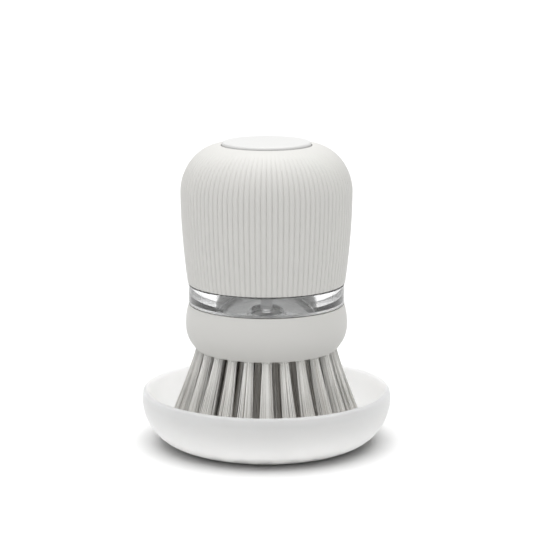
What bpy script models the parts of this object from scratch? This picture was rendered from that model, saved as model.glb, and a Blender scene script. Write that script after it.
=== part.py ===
"""Soap dispensing dish brush standing in its round tray.

A ribbed palm grip with a push button screws onto a clear soap reservoir. The reservoir turns into
a brush head of splayed tufts, and the brush stands on its bristle tips in the tray. Pressing the
button drives a rod down through the soap and opens the valve in the reservoir's floor.

Metres, +Z up, origin on the surface under the tray's centre. Every piece is round about the Z axis,
and every height is stacked up from the tray, so that a changed size carries the pieces above it.
"""

import math

import bmesh
import bpy
from mathutils import Matrix, Vector

TURN = 2 * math.pi

# Air left between pieces
SEAT_GAP = 0.0003
BUTTON_CLEARANCE = 0.0003
ROD_CLEARANCE = 0.0003
THREAD_CLEARANCE = 0.0012
VALVE_CLEARANCE = 0.0005

# Collar of the brush head. Its belly sets how wide the pieces above and below it are
COLLAR_BELLY_RADIUS = 0.03215
COLLAR_TOP_TUCK = 0.00115
COLLAR_TOP_RADIUS = COLLAR_BELLY_RADIUS - COLLAR_TOP_TUCK
COLLAR_LIP_TUCK = 0.0038
COLLAR_LIP_RADIUS = COLLAR_BELLY_RADIUS - COLLAR_LIP_TUCK
COLLAR_LIP_WIDTH = 0.00045
COLLAR_BELLY_HEIGHT = 0.0096
COLLAR_HEIGHT = 0.01785
COLLAR_WALL = 0.0022
COLLAR_EDGE_RADIUS = 0.0004
COLLAR_BELLY_SWEEP = 0.0045
COLLAR_LIP_SWEEP = 0.0022
COLLAR_LIP_RISE = 0.0026
COLLAR_BEAD = 0.0004
COLLAR_BEAD_HEIGHT = 0.0009

# Tray, which is wider than the tips of the tufts by its room
TRAY_ROOM = 0.0101
TRAY_FOOT_TUCK = 0.0174
TRAY_FOOT_WIDTH = 0.00615
TRAY_BELLY_HEIGHT = 0.0186
TRAY_RIM_RISE = 0.0034
TRAY_RIM_LEAN = 0.00035
TRAY_WALL = 0.0024
TRAY_FOOT_SWEEP = 0.01066
TRAY_BELLY_SWEEP = 0.00956
TRAY_RECESS_DEPTH = 0.0006

# Bristles and the backing that they stand in
BRISTLE_LENGTH = 0.0342
BACKING_THICKNESS = 0.0020
TUFT_RING_SHARES = (0.918, 0.604, 0.29)
SPLAY_SHARE = 0.415
BUNDLE_ROOT_RADIUS = 0.00114
BUNDLE_TIP_RADIUS = 0.00255
STRAND_RADIUS = 0.00045
STRAND_ROOT_DEPTH = 0.0008
STRAND_SIDES = 3
BRISTLE_QUARTERS = ("bristles_front", "bristles_right", "bristles_back", "bristles_left")
TUFTS_IN_QUARTER = (6, 5, 3)
STRANDS_IN_TUFT = (7, 5, 4)

# Plate that carries the bristles, with its socket and soap spout
PLATE_THICKNESS = 0.0020
PLATE_LEDGE = 0.0007
PLATE_EDGE_RADIUS = 0.0004
OUTLET_RADIUS = 0.0050
SPOUT_WALL = 0.0016
SPOUT_DROP = 0.0043
SOCKET_CLEARANCE = 0.0004
SOCKET_WALL = 0.0018
SOCKET_HEIGHT = 0.0060
PLATE_RIBS = 6
PLATE_RIB_WIDTH = 0.0014
PLATE_RIB_HEIGHT = 0.0030
PLATE_RIB_MARGIN = 0.0012
PLATE_RIB_OVERLAP = 0.0006

# Gasket in the head's socket
HEAD_GASKET_THICKNESS = 0.0008
HEAD_GASKET_INSET = 0.0003

# Clear reservoir
BAND_SHOULDER = 0.0105
RESERVOIR_BORE = COLLAR_TOP_RADIUS - BAND_SHOULDER
BAND_HEIGHT = 0.00775
BAND_EDGE_RADIUS = 0.0003
SPIGOT_TUCK = 0.0070
SPIGOT_CHAMFER = 0.0008
FLOOR_DROP = 0.00445
FLOOR_THICKNESS = 0.0024
NECK_WALL = 0.0023
NECK_HEIGHT = 0.0336
BORE_ROUND = 0.0010
WELL_RADIUS = 0.0061
WELL_WALL = 0.0020
WELL_FLOOR = 0.0016
PORT_RADIUS = 0.0026

# Valve in the reservoir's floor
VALVE_CAP_THICKNESS = 0.0009
VALVE_CAP_PROUD = 0.0003
VALVE_CAP_CROWN = 0.0003
VALVE_STEM_RADIUS = 0.0012
VALVE_BARB_RADIUS = 0.0015
VALVE_BARB_HEIGHT = 0.0008
VALVE_PLUG_RADIUS = 0.0040
VALVE_PLUG_HEIGHT = 0.0024
VALVE_PLUG_TIP_RADIUS = 0.0022
VALVE_PLUG_FLOOR = 0.0006
VALVE_WIRE_RADIUS = 0.00028
VALVE_COIL_RADIUS = 0.0041
VALVE_COIL_TURNS = 2.5

# Cap inside the grip, which screws onto the reservoir's neck
NECK_GASKET_THICKNESS = 0.0012
CAP_DECK = 0.0020
CAP_WALL = 0.0018
CAP_FLANGE_THICKNESS = 0.0020
GUIDE_RADIUS = 0.0056
GUIDE_DROP = 0.0038
GUIDE_RISE = 0.0016
ROD_SEAL_WIDTH = 0.0015
ROD_SEAL_HEIGHT = 0.0016
VENT_PLACE_RADIUS = (GUIDE_RADIUS + RESERVOIR_BORE) / 2
VENT_HOLE_RADIUS = 0.0015
VENT_STEM_RADIUS = 0.0012
VENT_HEAD_RADIUS = 0.0032
VENT_HEAD_THICKNESS = 0.0007
VENT_BULB_RADIUS = 0.0019
VENT_BULB_HEIGHT = 0.0016
CUT_OVERRUN = 0.0010

# Push rod, its clip and its spring
ROD_RADIUS = 0.0025
ROD_GROOVE_DEPTH = 0.0006
ROD_END_CHAMFER = 0.0005
CLIP_WIDTH = 0.0024
CLIP_THICKNESS = 0.0011
CLIP_GAP_SHARE = 0.2
RETURN_WIRE_RADIUS = 0.0005
RETURN_COIL_RADIUS = 0.0071
RETURN_COIL_TURNS = 6

# Ribbed grip
GRIP_FOOT_OVERHANG = 0.0003
GRIP_FOOT_RADIUS = COLLAR_TOP_RADIUS + GRIP_FOOT_OVERHANG
GRIP_BULGE = 0.00265
GRIP_BELLY_RADIUS = GRIP_FOOT_RADIUS + GRIP_BULGE
GRIP_BELLY_HEIGHT = 0.0364
GRIP_HEIGHT = 0.0549
GRIP_WALL = 0.0028
GRIP_FOOT_LEAN = 0.00145
GRIP_FOOT_SWEEP = 0.0109
GRIP_BELLY_SWEEP = 0.0115
GRIP_SHOULDER_SWEEP = 0.0090
GRIP_CROWN_SWEEP = 0.0090
GRIP_CROWN_FALL = 0.0006
GRIP_CROWN_RING = 0.00045
GRIP_REBATE_DEPTH = 0.0007
GRIP_FOOT_ROUND = 0.0004
RIB_DEPTH = 0.0004
RIB_COUNT = 96
SLEEVE_WALL = 0.0017
SLEEVE_DROP = 0.0080

# Push button
BUTTON_RADIUS = 0.01767
BUTTON_PROUD = 0.0012
BUTTON_PLATE = 0.0022
BUTTON_DEPTH = 0.0096
BUTTON_WALL = 0.0018
BUTTON_EDGE_RADIUS = 0.0004
BOSS_WALL = 0.0018
BOSS_DROP = 0.0055

# Shares and counts that shape the outlines
RIB_PLACE_SHARES = (0.0, 0.5)
RIB_DEPTH_SHARES = (1.0, 0.0)
FILLET_SHARE = 0.45
SMALL_STEPS = 16
ROUND_STEPS = 32
WIDE_STEPS = 40
TRAY_STEPS = 48
QUARTER_STEPS = 6
COIL_STEPS = 9
MERGE_DISTANCE = 0.000001

FINISHES = {
    "warm_white": ((0.62, 0.613, 0.588), 0.50, 0.0),
    "tray_white": ((0.85, 0.847, 0.832), 0.42, 0.0),
    "bristle_grey": ((0.62, 0.61, 0.578), 0.45, 0.0),
    "clear": ((0.90, 0.91, 0.91), 0.05, 0.0),
    "valve_grey": ((0.33, 0.33, 0.33), 0.35, 0.0),
    "seal": ((0.50, 0.50, 0.49), 0.70, 0.0),
    "spring_steel": ((0.62, 0.62, 0.63), 0.25, 1.0),
}


def bezier(start, start_handle, end_handle, end, spans):
    """Points of a cubic curve from start to end, both kept."""
    points = []
    for index in range(spans + 1):
        t = index / spans
        s = 1 - t
        point = Vector(start) * s**3 + Vector(start_handle) * (3 * s * s * t)
        point += Vector(end_handle) * (3 * s * t * t) + Vector(end) * t**3
        points.append(point)
    return points


def offset(points, distance):
    """The same curve moved sideways, to the left of its direction."""
    moved = []
    last = len(points) - 1
    for index, point in enumerate(points):
        along = points[min(index + 1, last)] - points[max(index - 1, 0)]
        along.normalize()
        moved.append(point + Vector((-along.y, along.x)) * distance)
    return moved


def fillet(outline, arc_steps=2):
    """Round each corner (radius, height, fillet radius) of a closed outline."""
    points = []
    count = len(outline)
    for index, corner in enumerate(outline):
        spot = Vector(corner[:2])
        if len(corner) == 2:
            points.append(spot)
            continue
        before = Vector(outline[index - 1][:2]) - spot
        after = Vector(outline[(index + 1) % count][:2]) - spot
        half_angle = before.angle(after) / 2
        room = min(before.length, after.length) * FILLET_SHARE
        size = min(corner[2], room * math.tan(half_angle))
        inward = (before.normalized() + after.normalized()).normalized()
        centre = spot + inward * (size / math.sin(half_angle))
        reach = size / math.tan(half_angle)
        first = (spot + before.normalized() * reach - centre).normalized()
        final = (spot + after.normalized() * reach - centre).normalized()
        for step in range(arc_steps + 1):
            points.append(centre + first.slerp(final, step / arc_steps) * size)
    return points


def block_outline(inner, outer, base, top):
    """A rectangular section: its outer side down, then its inner side up."""
    return [(outer, top), (outer, base), (inner, base), (inner, top)]


def finish_material(name, finish):
    """A piece's own material, in one of the finishes."""
    colour, roughness, metallic = FINISHES[finish]
    material = bpy.data.materials.new(name)
    material.use_nodes = True
    shader = material.node_tree.nodes["Principled BSDF"]
    shader.inputs["Base Color"].default_value = (*colour, 1.0)
    shader.inputs["Roughness"].default_value = roughness
    shader.inputs["Metallic"].default_value = metallic
    return material


def add_piece(name, data, finish, level, body):
    """Name a mesh or curve as a piece of a body, at a height above the ground."""
    piece = bpy.data.objects.new(name, data)
    bpy.context.collection.objects.link(piece)
    data.materials.append(finish_material(name, finish))
    piece.parent = body
    piece.location.z = level - body.location.z
    return piece


def add_body(name, level):
    """An empty on the common axis, which carries the pieces that move together."""
    body = bpy.data.objects.new(name, None)
    bpy.context.collection.objects.link(body)
    body.location.z = level
    return body


def close_mesh(mesh, name):
    """Weld a built surface, turn its faces outward and shade its round parts smooth."""
    bmesh.ops.remove_doubles(mesh, verts=mesh.verts, dist=MERGE_DISTANCE)
    bmesh.ops.recalc_face_normals(mesh, faces=mesh.faces)
    if mesh.calc_volume(signed=True) < 0:
        bmesh.ops.reverse_faces(mesh, faces=mesh.faces)
    data = bpy.data.meshes.new(name)
    mesh.to_mesh(data)
    mesh.free()
    data.shade_smooth()
    data.set_sharp_from_angle(angle=math.radians(32))
    return data


def draw_outline(mesh, outline):
    """Edges of a section in the XZ plane, closed unless both its ends lie on the axis."""
    verts = [mesh.verts.new((point[0], 0, point[1])) for point in outline]
    edges = [mesh.edges.new(pair) for pair in zip(verts, verts[1:])]
    if outline[0][0] > 0 or outline[-1][0] > 0:
        edges.append(mesh.edges.new((verts[-1], verts[0])))
    return edges


def lathe(name, outline, steps, share=1.0, start=0.0):
    """Turn a section about the axis, all the way or by a share of a turn from a start angle."""
    mesh = bmesh.new()
    edges = draw_outline(mesh, outline)
    whole = share == 1.0
    bmesh.ops.spin(mesh, geom=mesh.verts[:] + edges, cent=(0, 0, 0), axis=(0, 0, 1),
                   angle=TURN * share, steps=steps, use_merge=whole)
    if not whole:
        bmesh.ops.holes_fill(mesh, edges=[edge for edge in mesh.edges if edge.is_boundary])
        bmesh.ops.rotate(mesh, verts=mesh.verts, cent=(0, 0, 0), matrix=Matrix.Rotation(start, 3, "Z"))
    return close_mesh(mesh, name)


def helix_points(radius, low, high, turns):
    """Points of a coil about the axis from one height to another."""
    count = round(turns * COIL_STEPS)
    points = []
    for index in range(count + 1):
        angle = TURN * turns * index / count
        height = low + (high - low) * index / count
        points.append(Vector((radius * math.cos(angle), radius * math.sin(angle), height)))
    return points


def least_gap(points, wire_radius):
    """The smallest air between two neighbouring turns of a coil."""
    gaps = []
    for index, point in enumerate(points):
        for other in points[index + COIL_STEPS // 2:]:
            gaps.append((point - other).length - wire_radius * 2)
    return min(gaps)


def coil(name, radius, wire_radius, height, turns):
    """A compression spring of round wire, standing on its lower end."""
    points = helix_points(radius, wire_radius, height - wire_radius, turns)
    curve = bpy.data.curves.new(name, "CURVE")
    curve.dimensions = "3D"
    curve.bevel_depth = wire_radius
    curve.bevel_resolution = 1
    curve.use_fill_caps = True
    spline = curve.splines.new("POLY")
    spline.points.add(len(points) - 1)
    for spot, point in zip(spline.points, points):
        spot.co = (*point, 1.0)
    print(name, "least gap to itself:", round(least_gap(points, wire_radius), 6))
    return curve


def combine(piece, tool_mesh, operation):
    """Add a mesh to a piece, or cut it out, and keep the result as the piece's own mesh."""
    material = piece.data.materials[0]
    tool = bpy.data.objects.new(piece.name + "_tool", tool_mesh)
    bpy.context.collection.objects.link(tool)
    tool.parent = piece.parent
    tool.location = piece.location
    change = piece.modifiers.new(operation.lower(), "BOOLEAN")
    change.operation = operation
    change.solver = "EXACT"
    change.object = tool
    bpy.context.view_layer.update()
    state = piece.evaluated_get(bpy.context.evaluated_depsgraph_get())
    result = bpy.data.meshes.new_from_object(state)
    piece.modifiers.clear()
    piece.data = result
    result.name = piece.name
    result.materials.clear()
    result.materials.append(material)
    bpy.data.objects.remove(tool)


# Reach of the tufts

def backing_span():
    """Inner and outer radius of the tufts' backing, between the spout and the collar's lip."""
    spout_edge = OUTLET_RADIUS + SPOUT_WALL + SEAT_GAP
    lip_edge = COLLAR_LIP_RADIUS - COLLAR_LIP_WIDTH - SEAT_GAP
    return spout_edge, lip_edge


def tuft_ring_radius(share):
    """Radius of a ring of tufts at a share of the way from the spout to the lip."""
    near, far = backing_span()
    return near + (far - near) * share


def tip_reach():
    """Largest radius of the splayed tips."""
    outer = tuft_ring_radius(max(TUFT_RING_SHARES))
    return outer * (1 + SPLAY_SHARE) + BUNDLE_TIP_RADIUS + STRAND_RADIUS


# Tray

def tray_side():
    """The tray's outer side from its foot up to its widest point."""
    belly_radius = tip_reach() + TRAY_ROOM
    foot_radius = belly_radius - TRAY_FOOT_TUCK
    foot = (foot_radius, 0)
    foot_handle = (foot_radius + TRAY_FOOT_SWEEP, 0)
    belly = (belly_radius, TRAY_BELLY_HEIGHT)
    belly_handle = (belly_radius, TRAY_BELLY_HEIGHT - TRAY_BELLY_SWEEP)
    return bezier(foot, foot_handle, belly_handle, belly, 6)


def tray_inside():
    """The tray's inner side, one wall thickness in from its outer side."""
    return offset(tray_side(), TRAY_WALL)


def tray_inside_height(radius):
    """How high the tray's inner surface lies at a radius."""
    points = tray_inside()
    if radius <= points[0].x:
        return points[0].y
    for low, high in zip(points, points[1:]):
        if radius <= high.x:
            return low.y + (high.y - low.y) * (radius - low.x) / (high.x - low.x)
    return points[-1].y


def build_tray(body):
    """A round dish, thin walled, with a rounded rim and a shallow recess in its foot."""
    side = tray_side()
    rim_height = TRAY_BELLY_HEIGHT + TRAY_RIM_RISE
    rim_outer = side[-1].x - TRAY_RIM_LEAN
    rim_inner = rim_outer - TRAY_WALL
    recess = side[0].x - TRAY_FOOT_WIDTH
    outline = [(0, TRAY_WALL)] + [tuple(point) for point in tray_inside()]
    outline += [(rim_inner, rim_height, TRAY_WALL), (rim_outer, rim_height, TRAY_WALL)]
    outline += [tuple(point) for point in reversed(side)]
    outline += [(recess, 0), (recess - TRAY_RECESS_DEPTH, TRAY_RECESS_DEPTH), (0, TRAY_RECESS_DEPTH)]
    data = lathe("tray", fillet(outline), TRAY_STEPS)
    return add_piece("tray", data, "tray_white", 0, body)


# Heights of the stack, from the tray up

def stack_levels():
    """The height above the ground of each seat, keyed by the piece that starts there."""
    level = {"tips": tray_inside_height(tip_reach()) + SEAT_GAP}
    level["backing"] = level["tips"] + BRISTLE_LENGTH
    level["plate"] = level["backing"] + BACKING_THICKNESS + SEAT_GAP
    level["plate_top"] = level["plate"] + PLATE_THICKNESS
    level["head_gasket"] = level["plate_top"] + SEAT_GAP
    level["reservoir"] = level["head_gasket"] + HEAD_GASKET_THICKNESS + SEAT_GAP
    level["valve_plug"] = level["reservoir"] - SEAT_GAP - VALVE_PLUG_HEIGHT
    level["well_floor"] = level["reservoir"] + WELL_FLOOR
    level["collar_top"] = level["backing"] + COLLAR_HEIGHT
    level["band"] = level["collar_top"] + SEAT_GAP
    level["floor"] = level["band"] - FLOOR_DROP
    level["band_top"] = level["band"] + BAND_HEIGHT
    level["neck_rim"] = level["band_top"] + NECK_HEIGHT
    level["grip"] = level["band_top"] + SEAT_GAP
    level["neck_gasket"] = level["neck_rim"] + SEAT_GAP
    level["deck"] = level["neck_gasket"] + NECK_GASKET_THICKNESS + SEAT_GAP
    level["deck_top"] = level["deck"] + CAP_DECK
    level["guide"] = level["deck"] - GUIDE_DROP
    level["grip_top"] = level["grip"] + GRIP_HEIGHT
    level["button_top"] = level["grip_top"] + BUTTON_PROUD
    level["button"] = level["button_top"] - BUTTON_DEPTH
    level["button_under"] = level["button_top"] - BUTTON_PLATE
    level["valve_cap_top"] = level["floor"] + VALVE_CAP_PROUD
    level["valve_cap"] = level["valve_cap_top"] - VALVE_CAP_THICKNESS
    level["rod_tip"] = level["valve_cap_top"] + SEAT_GAP
    level["clip_top"] = level["guide"] - SEAT_GAP
    return level


# Brush head

def plate_radius():
    """The rim radius of the tuft plate, which rests on the collar's ledge."""
    return COLLAR_LIP_RADIUS - COLLAR_LIP_WIDTH + PLATE_LEDGE


def build_collar(level, body):
    """A barrel-shaped shell with a thin lower lip, a ledge for the plate and a bead over it."""
    base = BACKING_THICKNESS
    ledge = base + SEAT_GAP / 2
    lip_inner = COLLAR_LIP_RADIUS - COLLAR_LIP_WIDTH
    bore = plate_radius() + SEAT_GAP
    bead_low = ledge + SEAT_GAP + PLATE_THICKNESS + SEAT_GAP
    bead_high = bead_low + COLLAR_BEAD_HEIGHT
    belly = (COLLAR_BELLY_RADIUS, COLLAR_BELLY_HEIGHT)
    above = (COLLAR_BELLY_RADIUS, COLLAR_BELLY_HEIGHT + COLLAR_BELLY_SWEEP)
    below = (COLLAR_BELLY_RADIUS, COLLAR_BELLY_HEIGHT - COLLAR_BELLY_SWEEP)
    lip = (COLLAR_LIP_RADIUS, 0)
    lip_handle = (COLLAR_LIP_RADIUS + COLLAR_LIP_SWEEP, COLLAR_LIP_RISE)
    top = (COLLAR_TOP_RADIUS, COLLAR_HEIGHT)
    top_inner = COLLAR_TOP_RADIUS - COLLAR_WALL
    upper = bezier(top, top, above, belly, 2)
    lower = bezier(belly, below, lip_handle, lip, 4)
    outline = [(*top, COLLAR_EDGE_RADIUS)]
    outline += [tuple(point) for point in upper[1:] + lower[1:]]
    outline += [(lip_inner, 0), (lip_inner, ledge), (bore, ledge), (bore, bead_low)]
    outline += [(bore - COLLAR_BEAD, (bead_low + bead_high) / 2), (bore, bead_high)]
    outline += [(COLLAR_BELLY_RADIUS - COLLAR_WALL, COLLAR_BELLY_HEIGHT)]
    outline += [(top_inner, COLLAR_HEIGHT, COLLAR_EDGE_RADIUS)]
    data = lathe("collar", fillet(outline, 1), WIDE_STEPS)
    return add_piece("collar", data, "warm_white", level["backing"], body)


def build_tuft_plate(level, body):
    """A disc with a spout below, a socket for the reservoir above and ribs between them."""
    socket_inner = WELL_RADIUS + WELL_WALL + SOCKET_CLEARANCE
    socket_outer = socket_inner + SOCKET_WALL
    spout_outer = OUTLET_RADIUS + SPOUT_WALL
    top = PLATE_THICKNESS
    rim = plate_radius()
    outline = [
        (socket_outer, top + SOCKET_HEIGHT), (socket_outer, top),
        (rim, top, PLATE_EDGE_RADIUS), (rim, 0, PLATE_EDGE_RADIUS),
        (spout_outer, 0), (spout_outer, -SPOUT_DROP), (OUTLET_RADIUS, -SPOUT_DROP),
        (OUTLET_RADIUS, top), (socket_inner, top), (socket_inner, top + SOCKET_HEIGHT),
    ]
    data = lathe("tuft_plate", fillet(outline, 1), ROUND_STEPS)
    plate = add_piece("tuft_plate", data, "tray_white", level["plate"], body)
    ribs = bmesh.new()
    near = socket_outer - PLATE_RIB_OVERLAP
    far = rim - PLATE_RIB_MARGIN
    low = top - PLATE_RIB_OVERLAP
    high = top + PLATE_RIB_HEIGHT
    for index in range(PLATE_RIBS):
        angle = TURN * (index + 0.5) / PLATE_RIBS
        out = Vector((math.cos(angle), math.sin(angle), 0))
        side = Vector((-out.y, out.x, 0)) * (PLATE_RIB_WIDTH / 2)
        corners = []
        for height, reach in ((low, far), (high, far - PLATE_RIB_HEIGHT)):
            lift = Vector((0, 0, height))
            loop = [out * near - side, out * reach - side, out * reach + side, out * near + side]
            corners.append([ribs.verts.new(corner + lift) for corner in loop])
        ribs.faces.new(corners[0][::-1])
        ribs.faces.new(corners[1])
        for a, b in zip(range(4), (1, 2, 3, 0)):
            ribs.faces.new((corners[0][a], corners[0][b], corners[1][b], corners[1][a]))
    combine(plate, close_mesh(ribs, "plate_ribs"), "UNION")
    return plate


def add_strand(mesh, root, tip):
    """One bristle: a straight prism, square to the brush's axis at both ends."""
    loops = []
    for centre in (root, tip):
        loop = []
        for side in range(STRAND_SIDES):
            angle = TURN * side / STRAND_SIDES + math.atan2(root.y, root.x)
            spoke = Vector((math.cos(angle), math.sin(angle), 0)) * STRAND_RADIUS
            loop.append(mesh.verts.new(centre + spoke))
        loops.append(loop)
    mesh.faces.new(loops[0])
    mesh.faces.new(loops[1][::-1])
    for a in range(STRAND_SIDES):
        b = (a + 1) % STRAND_SIDES
        mesh.faces.new((loops[0][b], loops[0][a], loops[1][a], loops[1][b]))


def add_tufts(mesh, start, quarter, ring_radius, tufts, strands):
    """Splayed tufts in one quarter of a circle. Each fans out from its root to its tip."""
    extend = 1 + STRAND_ROOT_DEPTH / BRISTLE_LENGTH
    for tuft in range(tufts):
        angle = start + quarter * (tuft + 0.5) / tufts
        out = Vector((math.cos(angle), math.sin(angle), 0))
        side = Vector((-out.y, out.x, 0))
        for strand in range(strands):
            spread = 0 if strand == 0 else 1
            turn = TURN * strand / (strands - 1)
            fan = out * math.cos(turn) * spread + side * math.sin(turn) * spread
            root = out * ring_radius + fan * BUNDLE_ROOT_RADIUS
            tip = out * ring_radius * (1 + SPLAY_SHARE) + fan * BUNDLE_TIP_RADIUS
            tip.z = -BRISTLE_LENGTH
            add_strand(mesh, tip + (root - tip) * extend, tip)


def build_bristles(level, body):
    """Four quarters of the tufts, each standing in its own slice of the backing.

    The quarters are turned so that an outer tuft faces straight to the front.
    """
    near, far = backing_span()
    section = block_outline(near, far, 0, BACKING_THICKNESS)
    quarter = TURN / len(BRISTLE_QUARTERS)
    slit = SEAT_GAP / near
    outer_tufts = TUFTS_IN_QUARTER[0]
    first = -quarter * (1 + (outer_tufts // 2 + 0.5) / outer_tufts)
    for index, name in enumerate(BRISTLE_QUARTERS):
        start = first + quarter * index
        data = lathe(name, section, QUARTER_STEPS, (quarter - slit) / TURN, start + slit / 2)
        slice_piece = add_piece(name, data, "bristle_grey", level["backing"], body)
        mesh = bmesh.new()
        for share, tufts, strands in zip(TUFT_RING_SHARES, TUFTS_IN_QUARTER, STRANDS_IN_TUFT):
            add_tufts(mesh, start, quarter, tuft_ring_radius(share), tufts, strands)
        combine(slice_piece, close_mesh(mesh, "strands"), "UNION")


def build_head_gasket(level, body):
    """A flat washer in the plate's socket, under the reservoir's valve well."""
    outer = WELL_RADIUS + WELL_WALL
    inner = OUTLET_RADIUS + HEAD_GASKET_INSET
    section = block_outline(inner, outer, 0, HEAD_GASKET_THICKNESS)
    data = lathe("head_gasket", section, ROUND_STEPS)
    return add_piece("head_gasket", data, "seal", level["head_gasket"], body)


# Reservoir and its valve

def build_reservoir(level, body):
    """A clear cup: valve well, floor, spigot, thick visible band and tall neck."""
    base = level["reservoir"]
    well_outer = WELL_RADIUS + WELL_WALL
    spigot = COLLAR_TOP_RADIUS - SPIGOT_TUCK
    neck = RESERVOIR_BORE + NECK_WALL
    floor = level["floor"] - base
    under = floor - FLOOR_THICKNESS
    band = level["band"] - base
    band_top = level["band_top"] - base
    rim = level["neck_rim"] - base
    outline = [
        (neck, rim), (neck, band_top),
        (COLLAR_TOP_RADIUS, band_top, BAND_EDGE_RADIUS),
        (COLLAR_TOP_RADIUS, band, BAND_EDGE_RADIUS),
        (spigot, band), (spigot, under, SPIGOT_CHAMFER),
        (well_outer, under), (well_outer, 0), (PORT_RADIUS, 0),
        (PORT_RADIUS, WELL_FLOOR), (WELL_RADIUS, WELL_FLOOR), (WELL_RADIUS, floor),
        (RESERVOIR_BORE, floor, BORE_ROUND), (RESERVOIR_BORE, rim),
    ]
    data = lathe("reservoir", fillet(outline, 1), WIDE_STEPS)
    return add_piece("reservoir", data, "clear", base, body)


def build_valve_stem(level, body):
    """A round cap flush with the reservoir's floor, on a pin that reaches down to the plug."""
    base = level["valve_plug"] + VALVE_PLUG_FLOOR + SEAT_GAP
    cap = level["valve_cap"] - base
    top = level["valve_cap_top"] - base
    cap_radius = WELL_RADIUS - VALVE_CLEARANCE
    barb_top = VALVE_BARB_HEIGHT
    outline = [
        (0, top), (cap_radius, top - VALVE_CAP_CROWN), (cap_radius, cap),
        (VALVE_STEM_RADIUS, cap), (VALVE_STEM_RADIUS, barb_top), (VALVE_BARB_RADIUS, barb_top),
        (VALVE_STEM_RADIUS, 0), (0, 0),
    ]
    data = lathe("valve_stem", outline, SMALL_STEPS)
    return add_piece("valve_stem", data, "valve_grey", base, body)


def build_valve_plug(level, body):
    """A soft cone with a socket for the pin, held up against the port."""
    hole = VALVE_STEM_RADIUS + SEAT_GAP
    pocket = VALVE_BARB_RADIUS + SEAT_GAP
    pocket_top = VALVE_PLUG_FLOOR + SEAT_GAP + VALVE_BARB_HEIGHT + SEAT_GAP
    outline = [
        (0, VALVE_PLUG_FLOOR), (pocket, VALVE_PLUG_FLOOR), (pocket, pocket_top),
        (hole, pocket_top), (hole, VALVE_PLUG_HEIGHT), (VALVE_PLUG_RADIUS, VALVE_PLUG_HEIGHT),
        (VALVE_PLUG_RADIUS, (VALVE_PLUG_HEIGHT + pocket_top) / 2), (VALVE_PLUG_TIP_RADIUS, 0),
        (0, 0),
    ]
    data = lathe("valve_plug", outline, SMALL_STEPS)
    return add_piece("valve_plug", data, "seal", level["valve_plug"], body)


def build_valve_spring(level, body):
    """The coil that lifts the valve cap and holds the plug shut."""
    base = level["well_floor"] + SEAT_GAP
    height = level["valve_cap"] - SEAT_GAP - base
    data = coil("valve_spring", VALVE_COIL_RADIUS, VALVE_WIRE_RADIUS, height, VALVE_COIL_TURNS)
    return add_piece("valve_spring", data, "spring_steel", base, body)


# Cap in the grip

def build_neck_gasket(level, body):
    """A flat ring between the neck's rim and the cap's deck."""
    section = block_outline(RESERVOIR_BORE, RESERVOIR_BORE + NECK_WALL, 0, NECK_GASKET_THICKNESS)
    data = lathe("neck_gasket", section, ROUND_STEPS)
    return add_piece("neck_gasket", data, "seal", level["neck_gasket"], body)


def rebate_radius():
    """The radius of the rebate in the grip's foot, which takes the cap's flange."""
    return GRIP_FOOT_RADIUS - GRIP_WALL + GRIP_REBATE_DEPTH


def build_inner_cap(level, body):
    """A screw cap: flange, threaded skirt, deck and the guide that the rod slides in."""
    base = level["grip"]
    skirt_inner = RESERVOIR_BORE + NECK_WALL + THREAD_CLEARANCE
    skirt_outer = skirt_inner + CAP_WALL
    flange = rebate_radius() - SEAT_GAP
    deck = level["deck"] - base
    deck_top = level["deck_top"] - base
    guide = level["guide"] - base
    bore = ROD_RADIUS + ROD_CLEARANCE
    seal_pocket = bore + ROD_SEAL_WIDTH + SEAT_GAP
    guide_top = deck_top + GUIDE_RISE
    pocket_floor = guide_top - ROD_SEAL_HEIGHT - SEAT_GAP
    outline = [
        (GUIDE_RADIUS, guide_top), (GUIDE_RADIUS, deck_top),
        (skirt_outer, deck_top, CAP_WALL), (skirt_outer, CAP_FLANGE_THICKNESS),
        (flange, CAP_FLANGE_THICKNESS), (flange, 0), (skirt_inner, 0), (skirt_inner, deck),
        (GUIDE_RADIUS, deck), (GUIDE_RADIUS, guide), (bore, guide), (bore, pocket_floor),
        (seal_pocket, pocket_floor), (seal_pocket, guide_top),
    ]
    data = lathe("inner_cap", fillet(outline, 1), ROUND_STEPS)
    cap = add_piece("inner_cap", data, "warm_white", base, body)
    hole = bmesh.new()
    low = deck - CUT_OVERRUN
    high = deck_top + CUT_OVERRUN
    bmesh.ops.create_cone(hole, cap_ends=True, segments=SMALL_STEPS, radius1=VENT_HOLE_RADIUS,
                          radius2=VENT_HOLE_RADIUS, depth=high - low)
    bmesh.ops.translate(hole, verts=hole.verts, vec=(VENT_PLACE_RADIUS, 0, (low + high) / 2))
    combine(cap, close_mesh(hole, "vent_hole"), "DIFFERENCE")
    return cap


def build_rod_seal(level, body):
    """A rubber ring at the top of the guide, round the rod."""
    inner = ROD_RADIUS + ROD_CLEARANCE
    base = level["deck_top"] + GUIDE_RISE - ROD_SEAL_HEIGHT
    section = block_outline(inner, inner + ROD_SEAL_WIDTH, 0, ROD_SEAL_HEIGHT)
    data = lathe("rod_seal", section, SMALL_STEPS)
    return add_piece("rod_seal", data, "seal", base, body)


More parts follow.
